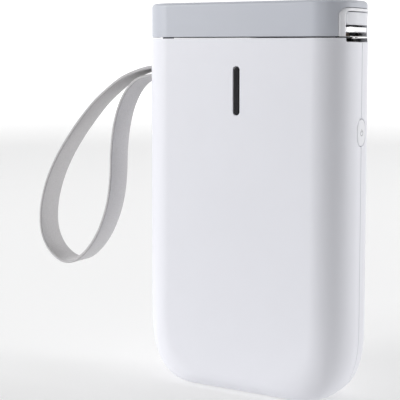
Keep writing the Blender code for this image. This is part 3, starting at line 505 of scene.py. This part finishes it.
def arc(u, v, radius, first, last, steps):
    """Points on a circle between two angles in degrees."""
    angles = [math.radians(first + (last - first) * k / steps) for k in range(steps + 1)]
    return [(u + radius * math.cos(a), v + radius * math.sin(a)) for a in angles]


def rounded(half_u, v0, v1, radius, steps=8, lower=True, u=0.0):
    """Outline of a rectangle with round corners; the lower two stay square unless lower is set."""
    points = []
    for su, v, start in ((1, v1, 0), (-1, v1, 90), (-1, v0, 180), (1, v0, 270)):
        if v == v0 and not lower:
            points.append((u + su * half_u, v))
            continue
        cv = v - radius if v == v1 else v + radius
        points += arc(u + su * (half_u - radius), cv, radius, start, start + 90, steps)
    return points


def settle(item):
    """Bake an object's modifiers into its mesh."""
    shown = item.evaluated_get(bpy.context.evaluated_depsgraph_get())
    mesh = bpy.data.meshes.new_from_object(shown)
    item.modifiers.clear()
    item.data = mesh
    return item


def combine(item, tools, operation="DIFFERENCE"):
    """Cut, join or intersect with each tool in turn, then remove the tools."""
    for tool in tools:
        change = item.modifiers.new("shape", "BOOLEAN")
        change.operation = operation
        change.object = tool
        change.solver = "MANIFOLD"
    settle(item)
    for tool in tools:
        bpy.data.objects.remove(tool, do_unlink=True)
    return item


def soften(item, width):
    """Round the edges, then shade the faces smooth."""
    edges = item.modifiers.new("edges", "BEVEL")
    edges.width = width
    edges.segments = 3
    edges.limit_method = "ANGLE"
    edges.angle_limit = math.radians(35)
    edges.use_clamp_overlap = True
    edges.harden_normals = False
    settle(item)
    return smooth(item)


def smooth(item, angle=40.0):
    """Shade smooth up to an angle, with the broad faces ruling the normals."""
    item.data.shade_smooth()
    item.data.set_sharp_from_angle(angle=math.radians(angle))
    weights = item.modifiers.new("normals", "WEIGHTED_NORMAL")
    weights.keep_sharp = True
    weights.mode = "FACE_AREA"
    weights.weight = 60
    return settle(item)


def stand_for(item, body, slot, *nodes):
    """Let a piece ride on its body and stand for the nodes it replaces, which are hidden; its slot is not
    used.
    """
    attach(item, body)
    if nodes:
        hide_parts(*nodes)
    return item


# ------------------------------------------------------------------ case form
def side_drop(y, inset):
    """How far the side falls back at depth y."""
    radius = SIDE_R - inset
    out = max(abs(y) - (DEPTH / 2 - SIDE_R), 0.0)
    return radius - math.sqrt(max(radius ** 2 - out ** 2, 0.0))


def foot_drop(y, inset):
    """How far the foot rises at depth y."""
    radius = FOOT_R - inset
    out = max(abs(y) - (DEPTH / 2 - FOOT_R), 0.0)
    return radius - math.sqrt(max(radius ** 2 - out ** 2, 0.0))


def half_depth(z, inset):
    """Half depth of the case form at height z."""
    radius = FOOT_R - inset
    up = min(max(z - inset, 0.0), radius)
    return DEPTH / 2 - FOOT_R + math.sqrt(max(radius ** 2 - (radius - up) ** 2, 0.0))


def half_width(y, z, inset):
    """Half width of the case form at depth y and height z."""
    rx = CORNER_RX - inset
    rz = CORNER_RZ - inset - foot_drop(y, inset)
    t = min(max((CORNER_RZ - z) / rz, 0.0), 1.0)
    corner = rx * (1 - (1 - t ** CORNER_POWER) ** (1 / CORNER_POWER))
    return WIDTH / 2 - inset - side_drop(y, inset) - corner


def case_ring(z, inset, steps=RING_STEPS):
    """One level line of the case form, all the way round."""
    deep = half_depth(z, inset)
    full = DEPTH / 2 - inset
    quarter = []
    for k in range(steps + 1):
        angle = math.pi / 2 * (1 - k / steps)
        y = ((DEPTH / 2 - SIDE_R) + (SIDE_R - inset) * math.sin(angle)) * deep / full
        quarter.append((half_width(y, z, inset), y))
    back = quarter[::-1]
    return ([(x, y, z) for x, y in quarter] + [(x, -y, z) for x, y in back]
            + [(-x, -y, z) for x, y in quarter] + [(-x, y, z) for x, y in back])


def form_levels(inset, levels=LEVELS):
    """Heights of the level lines over the lower corners, closer together near the foot."""
    shares = [math.sin(math.pi / 2 * (1 - k / levels)) ** (2 / CORNER_POWER) for k in range(levels)]
    return [inset + (CORNER_RZ - inset) * (1 - share) for share in shares] + [CORNER_RZ]


def case_form(name, inset, top, finish=None, steps=RING_STEPS, levels=LEVELS):
    """The solid inside the case's outer skin, or inside its walls when inset is given."""
    heights = form_levels(inset, levels) + [top]
    return loft(name, [case_ring(z, inset, steps) for z in heights], finish)


def plan_ring(z, inset):
    """The case's plan outline at any height, moved in by inset."""
    points = []
    for sx, sy, start in ((1, 1, 0), (-1, 1, 90), (-1, -1, 180), (1, -1, 270)):
        corner = arc(sx * (WIDTH / 2 - SIDE_R), sy * (DEPTH / 2 - SIDE_R), SIDE_R - inset,
                     start, start + 90, RING_STEPS)
        points += [(x, y, z) for x, y in corner]
    return points


def front_outline(y, inset, top):
    """The case's outline as seen from the front, placed at depth y and closed over the top."""
    right = [(half_width(0.0, z, inset), y, z) for z in form_levels(inset) + [top]]
    return right + [(-x, y, z) for x, y, z in right[::-1]]


def end_x(y, depth):
    """X of the right end's skin at y, moved in by depth."""
    return WIDTH / 2 - depth - side_drop(y, depth)


def bend_to_end(item, step=0.45 * MM):
    """Wrap a flat piece, whose X holds its depth under the skin, round the right end."""
    shape = bmesh.new()
    shape.from_mesh(item.data)
    reach = max(abs(v.co.y) for v in shape.verts)
    count = int(reach / step)
    for k in range(-count, count + 1):
        everything = shape.verts[:] + shape.edges[:] + shape.faces[:]
        bmesh.ops.bisect_plane(
            shape, geom=everything, dist=1e-7, plane_co=(0, k * step, 0), plane_no=(0, 1, 0))
    for vertex in shape.verts:
        vertex.co.x = end_x(vertex.co.y, vertex.co.x)
    bmesh.ops.recalc_face_normals(shape, faces=shape.faces)
    shape.to_mesh(item.data)
    shape.free()
    return item


def tube(name, x, z, y0, y1, outer, inner, finish, sides, edge):
    """A turned sleeve along Y with its rims eased."""
    bulge = edge * 0.3
    profile = [(inner, y0 + edge), (inner + edge, y0), (outer - edge, y0), (outer - bulge, y0 + bulge),
               (outer, y0 + edge), (outer, y1 - edge), (outer - bulge, y1 - bulge), (outer - edge, y1),
               (inner + edge, y1), (inner, y1 - edge)]
    rings = [[(x + r * math.cos(a), y, z + r * math.sin(a)) for a in full_turn(sides)] for r, y in profile]
    return smooth(loft(name, rings, finish, closed=True))


# ------------------------------------------------------------------ camera
def place_camera():
    """Camera in front of the right corner, a little below the cap's height, looking slightly down."""
    lens = bpy.data.cameras.new("camera")
    lens.lens = 98.6
    lens.sensor_width = 36
    lens.shift_y = -0.15
    camera = bpy.data.objects.new("camera", lens)
    camera.location = (0.1692, -0.3265, 0.1149)
    camera.rotation_euler = (math.radians(90 - 4.78), 0, math.radians(30.33))
    bpy.context.scene.collection.objects.link(camera)
    bpy.context.scene.camera = camera


# ------------------------------------------------------------------ strap
STRAP_ROUTE = [(-33.0, 108.5), (-36.5, 108.5), (-40.0, 108.2), (-45.0, 106.9), (-51.0, 104.5), (-57.0, 100.6),
               (-63.5, 95.4), (-69.8, 88.8), (-75.4, 82.0), (-80.3, 75.0), (-84.2, 67.8), (-86.9, 60.4),
               (-88.2, 53.0), (-87.6, 45.8), (-84.3, 39.9), (-78.9, 36.4), (-73.4, 36.6), (-68.3, 40.0),
               (-63.6, 45.6), (-60.0, 52.4), (-57.4, 60.4), (-56.2, 69.0), (-55.8, 78.0), (-54.6, 86.8),
               (-52.4, 94.2), (-49.0, 100.2), (-44.6, 104.0), (-40.0, 105.3), (-36.5, 105.5), (-33.0, 105.5)]
STRAP_HALF = 5.25 * MM
STRAP_T = 1.1 * MM
STRAP_EDGE = 0.45 * MM
STRAP_PER_SPAN = 8


def smooth_route(points, per_span):
    """A curve through all the points, by the tangents of their neighbours."""
    out = []
    for k in range(len(points) - 1):
        p0 = points[max(k - 1, 0)]
        p1, p2 = points[k], points[k + 1]
        p3 = points[min(k + 2, len(points) - 1)]
        for step in range(per_span):
            t = step / per_span
            out.append(tuple(
                0.5 * (2 * b + (c - a) * t + (2 * a - 5 * b + 4 * c - d) * t * t
                       + (3 * b - a - 3 * c + d) * t ** 3)
                for a, b, c, d in zip(p0, p1, p2, p3)))
    out.append(points[-1])
    return out


def strap():
    """A woven band in a hanging loop, with rounded selvedges."""
    line = [(x * MM, z * MM) for x, z in smooth_route(STRAP_ROUTE, STRAP_PER_SPAN)]
    section = rounded(STRAP_HALF, -STRAP_T / 2, STRAP_T / 2, STRAP_EDGE, 5)
    rings = []
    length = 0.0
    for k, (x, z) in enumerate(line):
        x0, z0 = line[max(k - 1, 0)]
        x1, z1 = line[min(k + 1, len(line) - 1)]
        run = math.hypot(x1 - x0, z1 - z0)
        nx, nz = (z1 - z0) / run, -(x1 - x0) / run
        rings.append([(x + nx * n, y, z + nz * n) for y, n in section])
        if k:
            length += math.hypot(x - line[k - 1][0], z - line[k - 1][1])
    band = smooth(loft("strap_band", rings, weave), 60)
    stand_for(band, "case", "strap_band", "strap")


# ------------------------------------------------------------------ case
EXIT_HALF = 8.8 * MM
EXIT_LIP_Z = 116.9 * MM
POCKET_LOW, POCKET_HIGH = 104.4 * MM, 109.6 * MM
POCKET_HALF = 6.2 * MM
EASE = 0.22 * MM            # rounding of moulded edges
GROOVE = 0.2 * MM           # half width of the parting line's groove
SCREWS = [(sx * 24 * MM, z * MM) for sx in (-1, 1) for z in (30, 76)]
KEY_LOW, KEY_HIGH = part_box("power_button")
KEY_Z = (KEY_LOW.z + KEY_HIGH.z) / 2
KEY_HALF_Y = 3.2 * MM
KEY_HALF_Z = 4.35 * MM
PANE_LOW, PANE_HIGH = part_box("indicator_window")
PANE_HALF = (PANE_HIGH.x - PANE_LOW.x) / 2
PORT_HALF = 4.7 * MM
PORT_Y0, PORT_Y1 = 1.25 * MM, 4.95 * MM
PORT_R = 1.7 * MM
POCKET_R = 0.9 * MM
GROOVE_DEPTH = 0.24 * MM
GROOVE_TOP = 125 * MM
BOSS_R = 2.3 * MM
BOSS_END = 12.4 * MM
BORE_R = 1.15 * MM
SINK_R = 2.15 * MM
SINK_Y = 12.3 * MM


def flared(name, outline_at, axis, stations, finish=None):
    """A solid whose outline grows along its stations, given as (place, growth)."""
    rings = []
    for place, growth in stations:
        ring = outline_at(growth)
        rings.append([(place, u, v) if axis == "X" else (u, place, v) for u, v in ring])
    return loft(name, rings, finish)


def key_outline(growth):
    """The power key's oval."""
    return rounded(KEY_HALF_Y + growth, KEY_Z - KEY_HALF_Z - growth, KEY_Z + KEY_HALF_Z + growth,
                   KEY_HALF_Y + growth - 0.01 * MM, 16)


def pane_outline(growth):
    """The indicator slot."""
    half = PANE_HALF + growth
    return rounded(half, PANE_LOW.z - growth, PANE_HIGH.z + growth, half - 0.01 * MM, 16)


def pocket_outline(growth):
    """The strap's pocket."""
    return rounded(POCKET_HALF + growth, POCKET_LOW - growth, POCKET_HIGH + growth, POCKET_R + growth, 8)


def lip_outline(growth):
    """The notch in the case's rim below the label exit, open above."""
    low = EXIT_LIP_Z - growth
    half = EXIT_HALF + growth
    radius = 0.5 * MM
    left = arc(-half + radius, low + radius, radius, 180, 270, 6)
    right = arc(half - radius, low + radius, radius, 270, 360, 6)
    return [(half, HEIGHT), (-half, HEIGHT), (-half, low + MM)] + left + right + [(half, low + MM)]


def port_outline(growth):
    """The charging socket's hole in the foot."""
    return rounded(PORT_HALF + growth, PORT_Y0 - growth, PORT_Y1 + growth, PORT_R + growth, 8)


def case_body():
    """The whole outer skin with its openings, before it is split at the parting line."""
    rim = [case_ring(CASE_TOP - EASE * (1 - math.sin(a)), EASE * (1 - math.cos(a))) for a in quarter_turn(5)]
    rings = [case_ring(z, 0.0) for z in form_levels(0.0)] + rim
    skin = loft("case_skin", rings, case_plastic)
    tools = [case_form("case_hollow", WALL, OPEN_TOP)]
    groove = [front_outline(y, inset, GROOVE_TOP) for y, inset in
              ((-GROOVE, -0.02 * MM), (0.0, GROOVE_DEPTH), (GROOVE, -0.02 * MM), (0.0, -0.5 * MM))]
    tools.append(loft("case_groove", groove, closed=True))
    outer = WIDTH / 2
    tools.append(flared("case_key", key_outline, "X", [
        (outer - 4 * MM, 0.15 * MM), (outer - 0.3 * MM, 0.15 * MM), (outer - 0.1 * MM, 0.2 * MM),
        (outer + 0.02 * MM, 0.38 * MM), (outer + MM, 0.38 * MM)]))
    tools.append(flared("case_pocket", pocket_outline, "X", [
        (-outer - MM, 0.5 * MM), (-outer - 0.01 * MM, 0.5 * MM), (-outer + 0.18 * MM, 0.15 * MM),
        (-outer + 0.5 * MM, 0.0), (-outer + 5 * MM, 0.0)]))
    tools.append(flared("case_lip", lip_outline, "X", [
        (outer - 5 * MM, 0.0), (outer - 0.35 * MM, 0.0), (outer - 0.1 * MM, 0.1 * MM), (outer, 0.3 * MM),
        (outer + MM, 0.3 * MM)]))
    front = -DEPTH / 2
    tools.append(flared("case_pane", pane_outline, "Y", [
        (front - MM, 0.32 * MM), (front - 0.01 * MM, 0.32 * MM), (front + 0.12 * MM, 0.14 * MM),
        (front + 0.3 * MM, 0.08 * MM), (front + 3 * MM, 0.08 * MM)]))
    port = flared("case_port", port_outline, "Y", [
        (-MM, 0.3 * MM), (0.0, 0.3 * MM), (0.25 * MM, 0.05 * MM), (3 * MM, 0.0)])
    port.data.transform(Matrix(((1, 0, 0, 0), (0, 0, 1, 0), (0, 1, 0, 0), (0, 0, 0, 1))))
    port.data.flip_normals()
    tools.append(port)
    for number, (x, z) in enumerate(SCREWS):
        tools.append(rod(f"case_sink_{number}", (x, SINK_Y, z), (x, DEEP, z), SINK_R))
    return combine(skin, tools)


def case():
    """Front and rear mouldings, with an inner lip behind the parting line."""
    whole = case_body()
    for end, side in (("front", -1), ("rear", 1)):
        half = bpy.data.objects.new(f"{end}_case", whole.data.copy())
        bpy.context.scene.collection.objects.link(half)
        y0, y1 = sorted((side * HALF_SEAM, side * DEEP))
        combine(half, [box(f"{end}_case_side", (-WIDE, y0, BELOW), (WIDE, y1, ABOVE))], "INTERSECT")
        screw_bosses(half, side)
        smooth(half, 30)
        stand_for(half, "case", "case_plastic", f"{end}_shell")
    bpy.data.objects.remove(whole, do_unlink=True)
    parting_lip()


def screw_bosses(half, side):
    """Four posts from the wall to near the parting line, blind in front and open at the back."""
    bore_y = (-7.5 * MM, DEEP) if side < 0 else (-DEEP, DEEP)
    bosses = []
    for number, (x, z) in enumerate(SCREWS):
        boss = rod(f"boss_{number}", (x, side * MM, z), (x, side * BOSS_END, z), BOSS_R)
        bore = rod(f"bore_{number}", (x, bore_y[0], z), (x, bore_y[1], z), BORE_R)
        bosses.append(combine(boss, [bore]))
    combine(half, bosses, "UNION")


def parting_lip():
    """A thin band inside the parting line that keeps the light out."""
    steps, levels = 12, 20
    half = 0.7 * MM
    top = 103 * MM
    lip = case_form("parting_lip", WALL + 0.02 * MM, CASE_TOP - 3 * MM, case_plastic, steps, levels)
    inside = case_form("parting_lip_hollow", WALL + 0.7 * MM, OPEN_TOP, None, steps, levels)
    at_key = box("parting_lip_key", (30 * MM, -6 * MM, KEY_LOW.z - MM), (WIDE, 6 * MM, KEY_HIGH.z + MM))
    at_port = box("parting_lip_port", (-6 * MM, -MM, BELOW), (6 * MM, 6 * MM, 6 * MM))
    combine(lip, [box("parting_lip_band", (-WIDE, -half, BELOW), (WIDE, half, top))], "INTERSECT")
    combine(lip, [inside, at_key, at_port])
    stand_for(smooth(lip), "case", "case_plastic")


def screws():
    """Pan-head screws with a cross recess, seated in the back."""
    point = 0.01 * MM
    head_r, shank_r, head_h = 1.9 * MM, 0.9 * MM, 1.3 * MM
    slot_half, slot_reach, slot_depth = 0.2 * MM, 1.15 * MM, 0.75 * MM
    for number, (x, z) in enumerate(SCREWS):
        node = f"case_screw_{number + 1}"
        low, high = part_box(node)
        crown = [(point, 0.0), (1.25 * MM, 0.02 * MM), (1.62 * MM, 0.16 * MM), (1.84 * MM, 0.42 * MM),
                 (head_r, slot_depth), (head_r, head_h), (shank_r, head_h)]
        profile = [(r, high.y - drop) for r, drop in crown] + [(shank_r, low.y + shank_r), (point, low.y)]
        rings = [[(x + r * math.cos(a), y, z + r * math.sin(a)) for a in full_turn(48)] for r, y in profile]
        screw = loft(node + "_turned", rings, plain_steel)
        slots = [box(f"{node}_slot_{k}", (x - u, high.y - slot_depth, z - v), (x + u, high.y + MM, z + v))
                 for k, (u, v) in enumerate(((slot_reach, slot_half), (slot_half, slot_reach)))]
        stand_for(smooth(combine(screw, slots)), "case", "plain_steel", node)


# ------------------------------------------------------------------ cap and exit
CAP_WALL = 1.2 * MM
CAP_TOP_WALL = 1.4 * MM
CAP_EDGE_R = 1.3 * MM
JOINTS = {joint["name"]: joint for joint in frame["record"]["behaviour"]["joints"]}
HINGE = Vector(JOINTS["cap_hinge"]["pos_m"])
BARREL_R = 1.3 * MM
PIN_HOLE_R = 0.58 * MM
RELIEF_R = 3 * MM           # room that the cap's rim needs as it turns
RELIEF_HALF = 8.2 * MM
SLOT_HALF = 2.3 * MM
EAR_Y0, EAR_Y1 = 2.35 * MM, 4.6 * MM
FRAME_HALF = 10.6 * MM
FRAME_TOP = 127.5 * MM
FRAME_R = 2.4 * MM
INNER_TOP = 126.45 * MM
INNER_R = 1.3 * MM
TOOTH_PITCH = 0.6 * MM
TOOTH_DEPTH = 0.25 * MM
BUTTON_LOW, BUTTON_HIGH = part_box("release_button")
TEAR_LOW, TEAR_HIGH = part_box("tear_bar")


def frame_outline(growth):
    """The opening for the exit's frame, open below."""
    radius = 2.6 * MM + growth
    return rounded(FRAME_HALF + growth, CAP_Z - 5 * MM, FRAME_TOP + growth, radius, 12, lower=False)


def cap():
    """The hinged cap, with eased lower rim, soft top edge, hinge ears and the exit opening."""
    rings = [plan_ring(CAP_Z + EASE * (1 - math.cos(a)), CAP_INSET + EASE * (1 - math.sin(a)))
             for a in quarter_turn(5)]
    shoulder = HEIGHT - CAP_EDGE_R
    rings += [plan_ring(shoulder + CAP_EDGE_R * math.sin(a), CAP_INSET + CAP_EDGE_R * (1 - math.cos(a)))
              for a in quarter_turn(10)]
    lid = loft("cap_moulding", rings, cap_plastic)
    inside = CAP_INSET + CAP_WALL
    combine(lid, [loft("cap_hollow", [plan_ring(z, inside) for z in (CAP_Z - MM, HEIGHT - CAP_TOP_WALL)])])
    combine(lid, cap_ears(), "UNION")
    left, low = -END_CUT[1], CAP_Z - MM
    relief = box("cap_relief", (left, -RELIEF_HALF, low), (HINGE.x, RELIEF_HALF, HINGE.z))
    combine(relief, [hinge_rod("cap_relief_round", DEEP, RELIEF_R, 96)])
    slot = box("cap_slot", (left, -SLOT_HALF, low), (HINGE.x, SLOT_HALF, HINGE.z + BARREL_R + 0.4 * MM))
    opening = flared("cap_opening", frame_outline, "X", [(x, 0.15 * MM) for x in END_CUT])
    combine(lid, [relief, slot, hinge_rod("cap_pin_hole", 6 * MM, PIN_HOLE_R, 32), opening])
    stand_for(smooth(lid, 30), "cap", "cap_plastic", "cap_shell")


def cap_ears():
    """Two knuckles that hang from the cap's top, round at the pin."""
    top = HEIGHT - CAP_TOP_WALL + 0.3 * MM
    barrel = arc(HINGE.x, HINGE.z, BARREL_R, 180, 360, 24)
    outline = [(HINGE.x + BARREL_R, top), (HINGE.x - BARREL_R, top)] + barrel
    return [prism(f"cap_ear_{side}", outline, *sorted((side * EAR_Y0, side * EAR_Y1))) for side in (-1, 1)]


def hinge_rod(name, half, radius, sides):
    """A cutter on the hinge's axis."""
    return rod(name, (HINGE.x, -half, HINGE.z), (HINGE.x, half, HINGE.z), radius, sides=sides)


def u_path(half, top, radius, low, steps=12):
    """Inverted U from its left foot to its right foot."""
    legs = [low + (top - radius - low) * k / 4 for k in range(4)]
    points = [(-half, z) for z in legs] + arc(-half + radius, top - radius, radius, 180, 90, steps)
    points += arc(half - radius, top - radius, radius, 90, 0, steps)
    return points + [(half, z) for z in legs[::-1]]


def bezel():
    """The glossy frame round the exit, rounded across its width and wrapped round the end."""
    low = CAP_Z + 0.05 * MM
    inner = u_path(EXIT_HALF, INNER_TOP, INNER_R, low)
    outer = u_path(FRAME_HALF, FRAME_TOP, FRAME_R, low)
    proud, back = -0.05 * MM, 1.65 * MM
    section = [(0.0, back), (0.0, proud + 0.45 * MM), (0.03, proud + 0.24 * MM), (0.11, proud + 0.08 * MM),
               (0.24, proud), (0.76, proud), (0.89, proud + 0.08 * MM), (0.97, proud + 0.24 * MM),
               (1.0, proud + 0.45 * MM), (1.0, back)]
    rings = [[(depth, y0 + (y1 - y0) * share, z0 + (z1 - z0) * share) for share, depth in section]
             for (y0, z0), (y1, z1) in zip(inner, outer)]
    surround = bend_to_end(loft("exit_frame", rings, bezel_plastic))
    stand_for(smooth(surround, 50), "cap", "bezel_plastic", "exit_bezel")


def release():
    """The panel that frees the cap: soft edges and a shallow finger hollow."""
    half = (BUTTON_HIGH.y - BUTTON_LOW.y) / 2
    skin = CAP_INSET + 0.15 * MM
    rings = []
    for shrink, depth in ((0.0, 1.75), (0.0, 0.32), (0.03, 0.16), (0.1, 0.05), (0.22, 0.0), (0.34, 0.0),
                          (0.62, 0.05), (0.9, 0.07)):
        outline = rounded(half - shrink * MM, BUTTON_LOW.z + shrink * MM, BUTTON_HIGH.z - shrink * MM,
                          (1.1 - min(shrink, 0.9)) * MM, 10)
        rings.append([(skin + depth * MM, u, v) for u, v in outline])
    panel = bend_to_end(loft("release_panel", rings, button_plastic))
    stand_for(smooth(panel, 50), "release", "button_plastic", "release_button")


def tear():
    """The polished cutter: fine teeth ground from one side along its lower edge."""
    half = (TEAR_HIGH.y - TEAR_LOW.y) / 2
    count = int(2 * half / TOOTH_PITCH)
    teeth = []
    for k in range(count):
        y = -half + 2 * half * k / count
        teeth += [(y, TEAR_LOW.z + TOOTH_DEPTH), (y + half / count, TEAR_LOW.z)]
    teeth.append((half, TEAR_LOW.z + TOOTH_DEPTH))
    skin = CAP_INSET + 0.3 * MM
    rings = []
    for depth, ground, top_trim in ((0.8, 0.0, 0.0), (0.42, 0.0, 0.0), (0.0, 0.18, 0.08), (0.0, 0.2, 0.1)):
        x = skin + depth * MM
        top = TEAR_HIGH.z - top_trim * MM
        rings.append([(x, y, z + ground * MM) for y, z in teeth] + [(x, half, top), (x, -half, top)])
    bar = loft("cutter", rings, bright_steel)
    stand_for(smooth(bend_to_end(bar, 0.8 * MM), 20), "cap", "polished_steel", "tear_bar")


# ------------------------------------------------------------------ controls
def power_key():
    """Domed oval key with its flange and stem, and a plain power mark printed on it."""
    stations = ((34.4, 0.9), (35.5, 0.9), (35.5, 0.0), (37.45, 0.0), (37.62, -0.04), (37.74, -0.14),
                (37.82, -0.32), (37.86, -0.7), (37.88, -1.2), (37.89, -1.9), (37.9, -2.7))
    places = [(x * MM, growth * MM) for x, growth in stations]
    key = flared("power_key", key_outline, "X", places, key_plastic)
    combine(key, [rod("power_key_stem", (33.7 * MM, 0, KEY_Z), (34.8 * MM, 0, KEY_Z), MM)], "UNION")
    stand_for(smooth(key, 35), "power", "button_plastic", "power_button")
    power_mark()


def power_mark():
    """An open ring with a bar through its gap, printed a hair proud of the key's face."""
    inside, proud = WIDTH / 2 + 0.13 * MM, WIDTH / 2 + 0.17 * MM
    middle = KEY_Z - 0.1 * MM
    section = [(MM, inside), (0.8 * MM, inside), (0.8 * MM, proud), (MM, proud)]
    sweep = zip(*(arc(0.0, middle, radius, 125, 415, 40) for radius, _ in section))
    rings = [[(x, y, z) for (y, z), (_, x) in zip(points, section)] for points in sweep]
    ring = loft("power_mark_ring", rings, print_ink)
    half = 0.1 * MM
    bar = box("power_mark_bar", (inside, -half, KEY_Z), (proud, half, KEY_Z + 1.15 * MM), print_ink)
    for mark in (ring, bar):
        stand_for(mark, "power", "button_plastic")


def window():
    """Smoked lens over the lamp, crowned slightly and set just under the skin."""
    face = PANE_LOW.y
    lens = flared("lamp_lens", pane_outline, "Y", [
        (PANE_HIGH.y, 0.0), (face + 0.14 * MM, 0.0), (face + 0.05 * MM, -0.05 * MM),
        (face + 0.01 * MM, -0.14 * MM), (face, -0.4 * MM)], window_black)
    stand_for(smooth(lens, 50), "case", "black_plastic", "indicator_window")


# ------------------------------------------------------------------ insides
LABELS_BORE_R = 6.05 * MM
CORE_R = 5.9 * MM
CORE_BORE_R = 5.0 * MM
PLATEN_BORE_R = 1.05 * MM
PAPER_EDGE, CARD_EDGE, RUBBER_EDGE = 0.05 * MM, 0.1 * MM, 0.15 * MM


def label_supply():
    """The wound labels and the card core that they are wound on."""
    low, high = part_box("label_roll")
    x, z = (low.x + high.x) / 2, (low.z + high.z) / 2
    radius = (high.x - low.x) / 2
    wound = tube("wound_labels", x, z, low.y, high.y, radius, LABELS_BORE_R, wound_paper, 160, PAPER_EDGE)
    stand_for(wound, "roll", "label_paper", "label_roll")
    core = tube("card_core", x, z, low.y, high.y, CORE_R, CORE_BORE_R, card, 96, CARD_EDGE)
    stand_for(core, "roll", "core_card", "roll_core")


def platen():
    """The rubber sleeve that drives the labels."""
    low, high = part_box("platen_rubber")
    x, z = (low.x + high.x) / 2, (low.z + high.z) / 2
    radius = (high.x - low.x) / 2
    roller = tube("platen_sleeve", x, z, low.y, high.y, radius, PLATEN_BORE_R, rubber, 96, RUBBER_EDGE)
    stand_for(roller, "platen", "black_rubber", "platen_rubber")


def coil(name, start, end, radius, wire, turns):
    """A round-wire compression spring."""
    start, end = Vector(start), Vector(end)
    along = (end - start).normalized()
    across = along.orthogonal().normalized()
    other = along.cross(across)
    length = (end - start).length - wire
    steps = turns * 28
    rings = []
    for k in range(steps + 1):
        a = 2 * math.pi * turns * k / steps
        out = across * math.cos(a) + other * math.sin(a)
        centre = start + along * (wire / 2 + length * k / steps) + out * radius
        rings.append([centre + (out * math.cos(b) + along * math.sin(b)) * wire / 2 for b in full_turn(12)])
    return smooth(loft(name, rings, plain_steel), 60)


def springs():
    """The two springs in the cap."""
    low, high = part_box("release_spring")
    z = (low.z + high.z) / 2
    small = coil("release_coil", (low.x, 0, z), (high.x, 0, z), 1.3 * MM, 0.3 * MM, 4)
    stand_for(small, "cap", "plain_steel", "release_spring")
    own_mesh(small)
    low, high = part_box("head_spring")
    x = (low.x + high.x) / 2
    large = coil("head_coil", (x, 0, low.z), (x, 0, high.z), 1.9 * MM, 0.4 * MM, 5)
    stand_for(large, "cap", "plain_steel", "head_spring")
    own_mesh(large)


def usb_contacts():
    """Insulated tongue and its plated contacts inside the socket."""
    low, high = Vector((-3.32, 2.73, 1.58)) * MM, Vector((3.32, 3.47, 7.6)) * MM
    tongue = soften(box("usb_insulator", low, high, nylon), 0.12 * MM)
    stand_for(tongue, "case", "chassis_plastic")
    pins, pitch = 12, 0.5 * MM
    half_x, half_y, pin_z0, pin_z1 = 0.13 * MM, 0.03 * MM, 2.0 * MM, 5.4 * MM
    for k in range(pins):
        x = (k - (pins - 1) / 2) * pitch
        for side, y in (("front", low.y), ("back", high.y)):
            pad = box(f"usb_pin_{side}_{k + 1}", (x - half_x, y - half_y, pin_z0),
                      (x + half_x, y + half_y, pin_z1), gear_brass)
            stand_for(pad, "case", "brass_gear")


# ------------------------------------------------------------------ studio
def area_light(name, location, target, size, power):
    """A soft rectangular lamp turned towards its target."""
    lamp = bpy.data.lights.new(name, "AREA")
    lamp.shape = "RECTANGLE"
    lamp.size, lamp.size_y = size
    lamp.energy = power
    item = bpy.data.objects.new(name, lamp)
    item.location = location
    item.rotation_euler = (Vector(target) - Vector(location)).to_track_quat("-Z", "Y").to_euler()
    item.visible_camera = False
    bpy.context.scene.collection.objects.link(item)


def paper_sweep():
    """A flat round floor that curves up into a wall all the way round."""
    flat, curve, wall_top, sides = 0.9, 0.5, 1.0, 96
    rise = [(flat + curve * math.sin(a), curve * (1 - math.cos(a))) for a in quarter_turn(20)]
    profile = [(0.02, 0.0)] + rise + [(flat + curve, wall_top)]
    shape = bmesh.new()
    rows = [[shape.verts.new((r * math.cos(a), r * math.sin(a), z)) for a in full_turn(sides)]
            for r, z in profile]
    for inner, outer in zip(rows, rows[1:]):
        for k in range(sides):
            n = (k + 1) % sides
            shape.faces.new((inner[k], inner[n], outer[n], outer[k]))
    shape.faces.new(rows[0])
    sweep = from_bmesh("sweep", shape, backdrop_paper)
    sweep.data.shade_smooth()


def studio():
    """Soft key from the front left, a fill from the right and a wash on the floor behind."""
    paper_sweep()
    middle = (0, 0, 0.07)
    area_light("key", (-0.72, -0.69, 0.46), middle, (0.4, 0.6), 9.1)
    area_light("side", (0.83, 0.36, 0.30), middle, (0.3, 0.7), 2.5)
    area_light("floor_wash", (0.0, 0.45, 0.75), (0.0, 0.38, 0.0), (1.2, 0.6), 3.0)
    world = bpy.data.worlds.new("studio")
    world.use_nodes = True
    world.node_tree.nodes["Background"].inputs["Color"].default_value = (1.0, 1.0, 1.0, 1.0)
    world.node_tree.nodes["Background"].inputs["Strength"].default_value = 0.06
    scene = bpy.context.scene
    scene.world = world
    scene.view_settings.view_transform = "Standard"
    scene.view_settings.look = "None"


place_camera()
strap()
finish_nodes()
case()
screws()
cap()
bezel()
release()
tear()
power_key()
window()
label_supply()
platen()
springs()
usb_contacts()
studio()
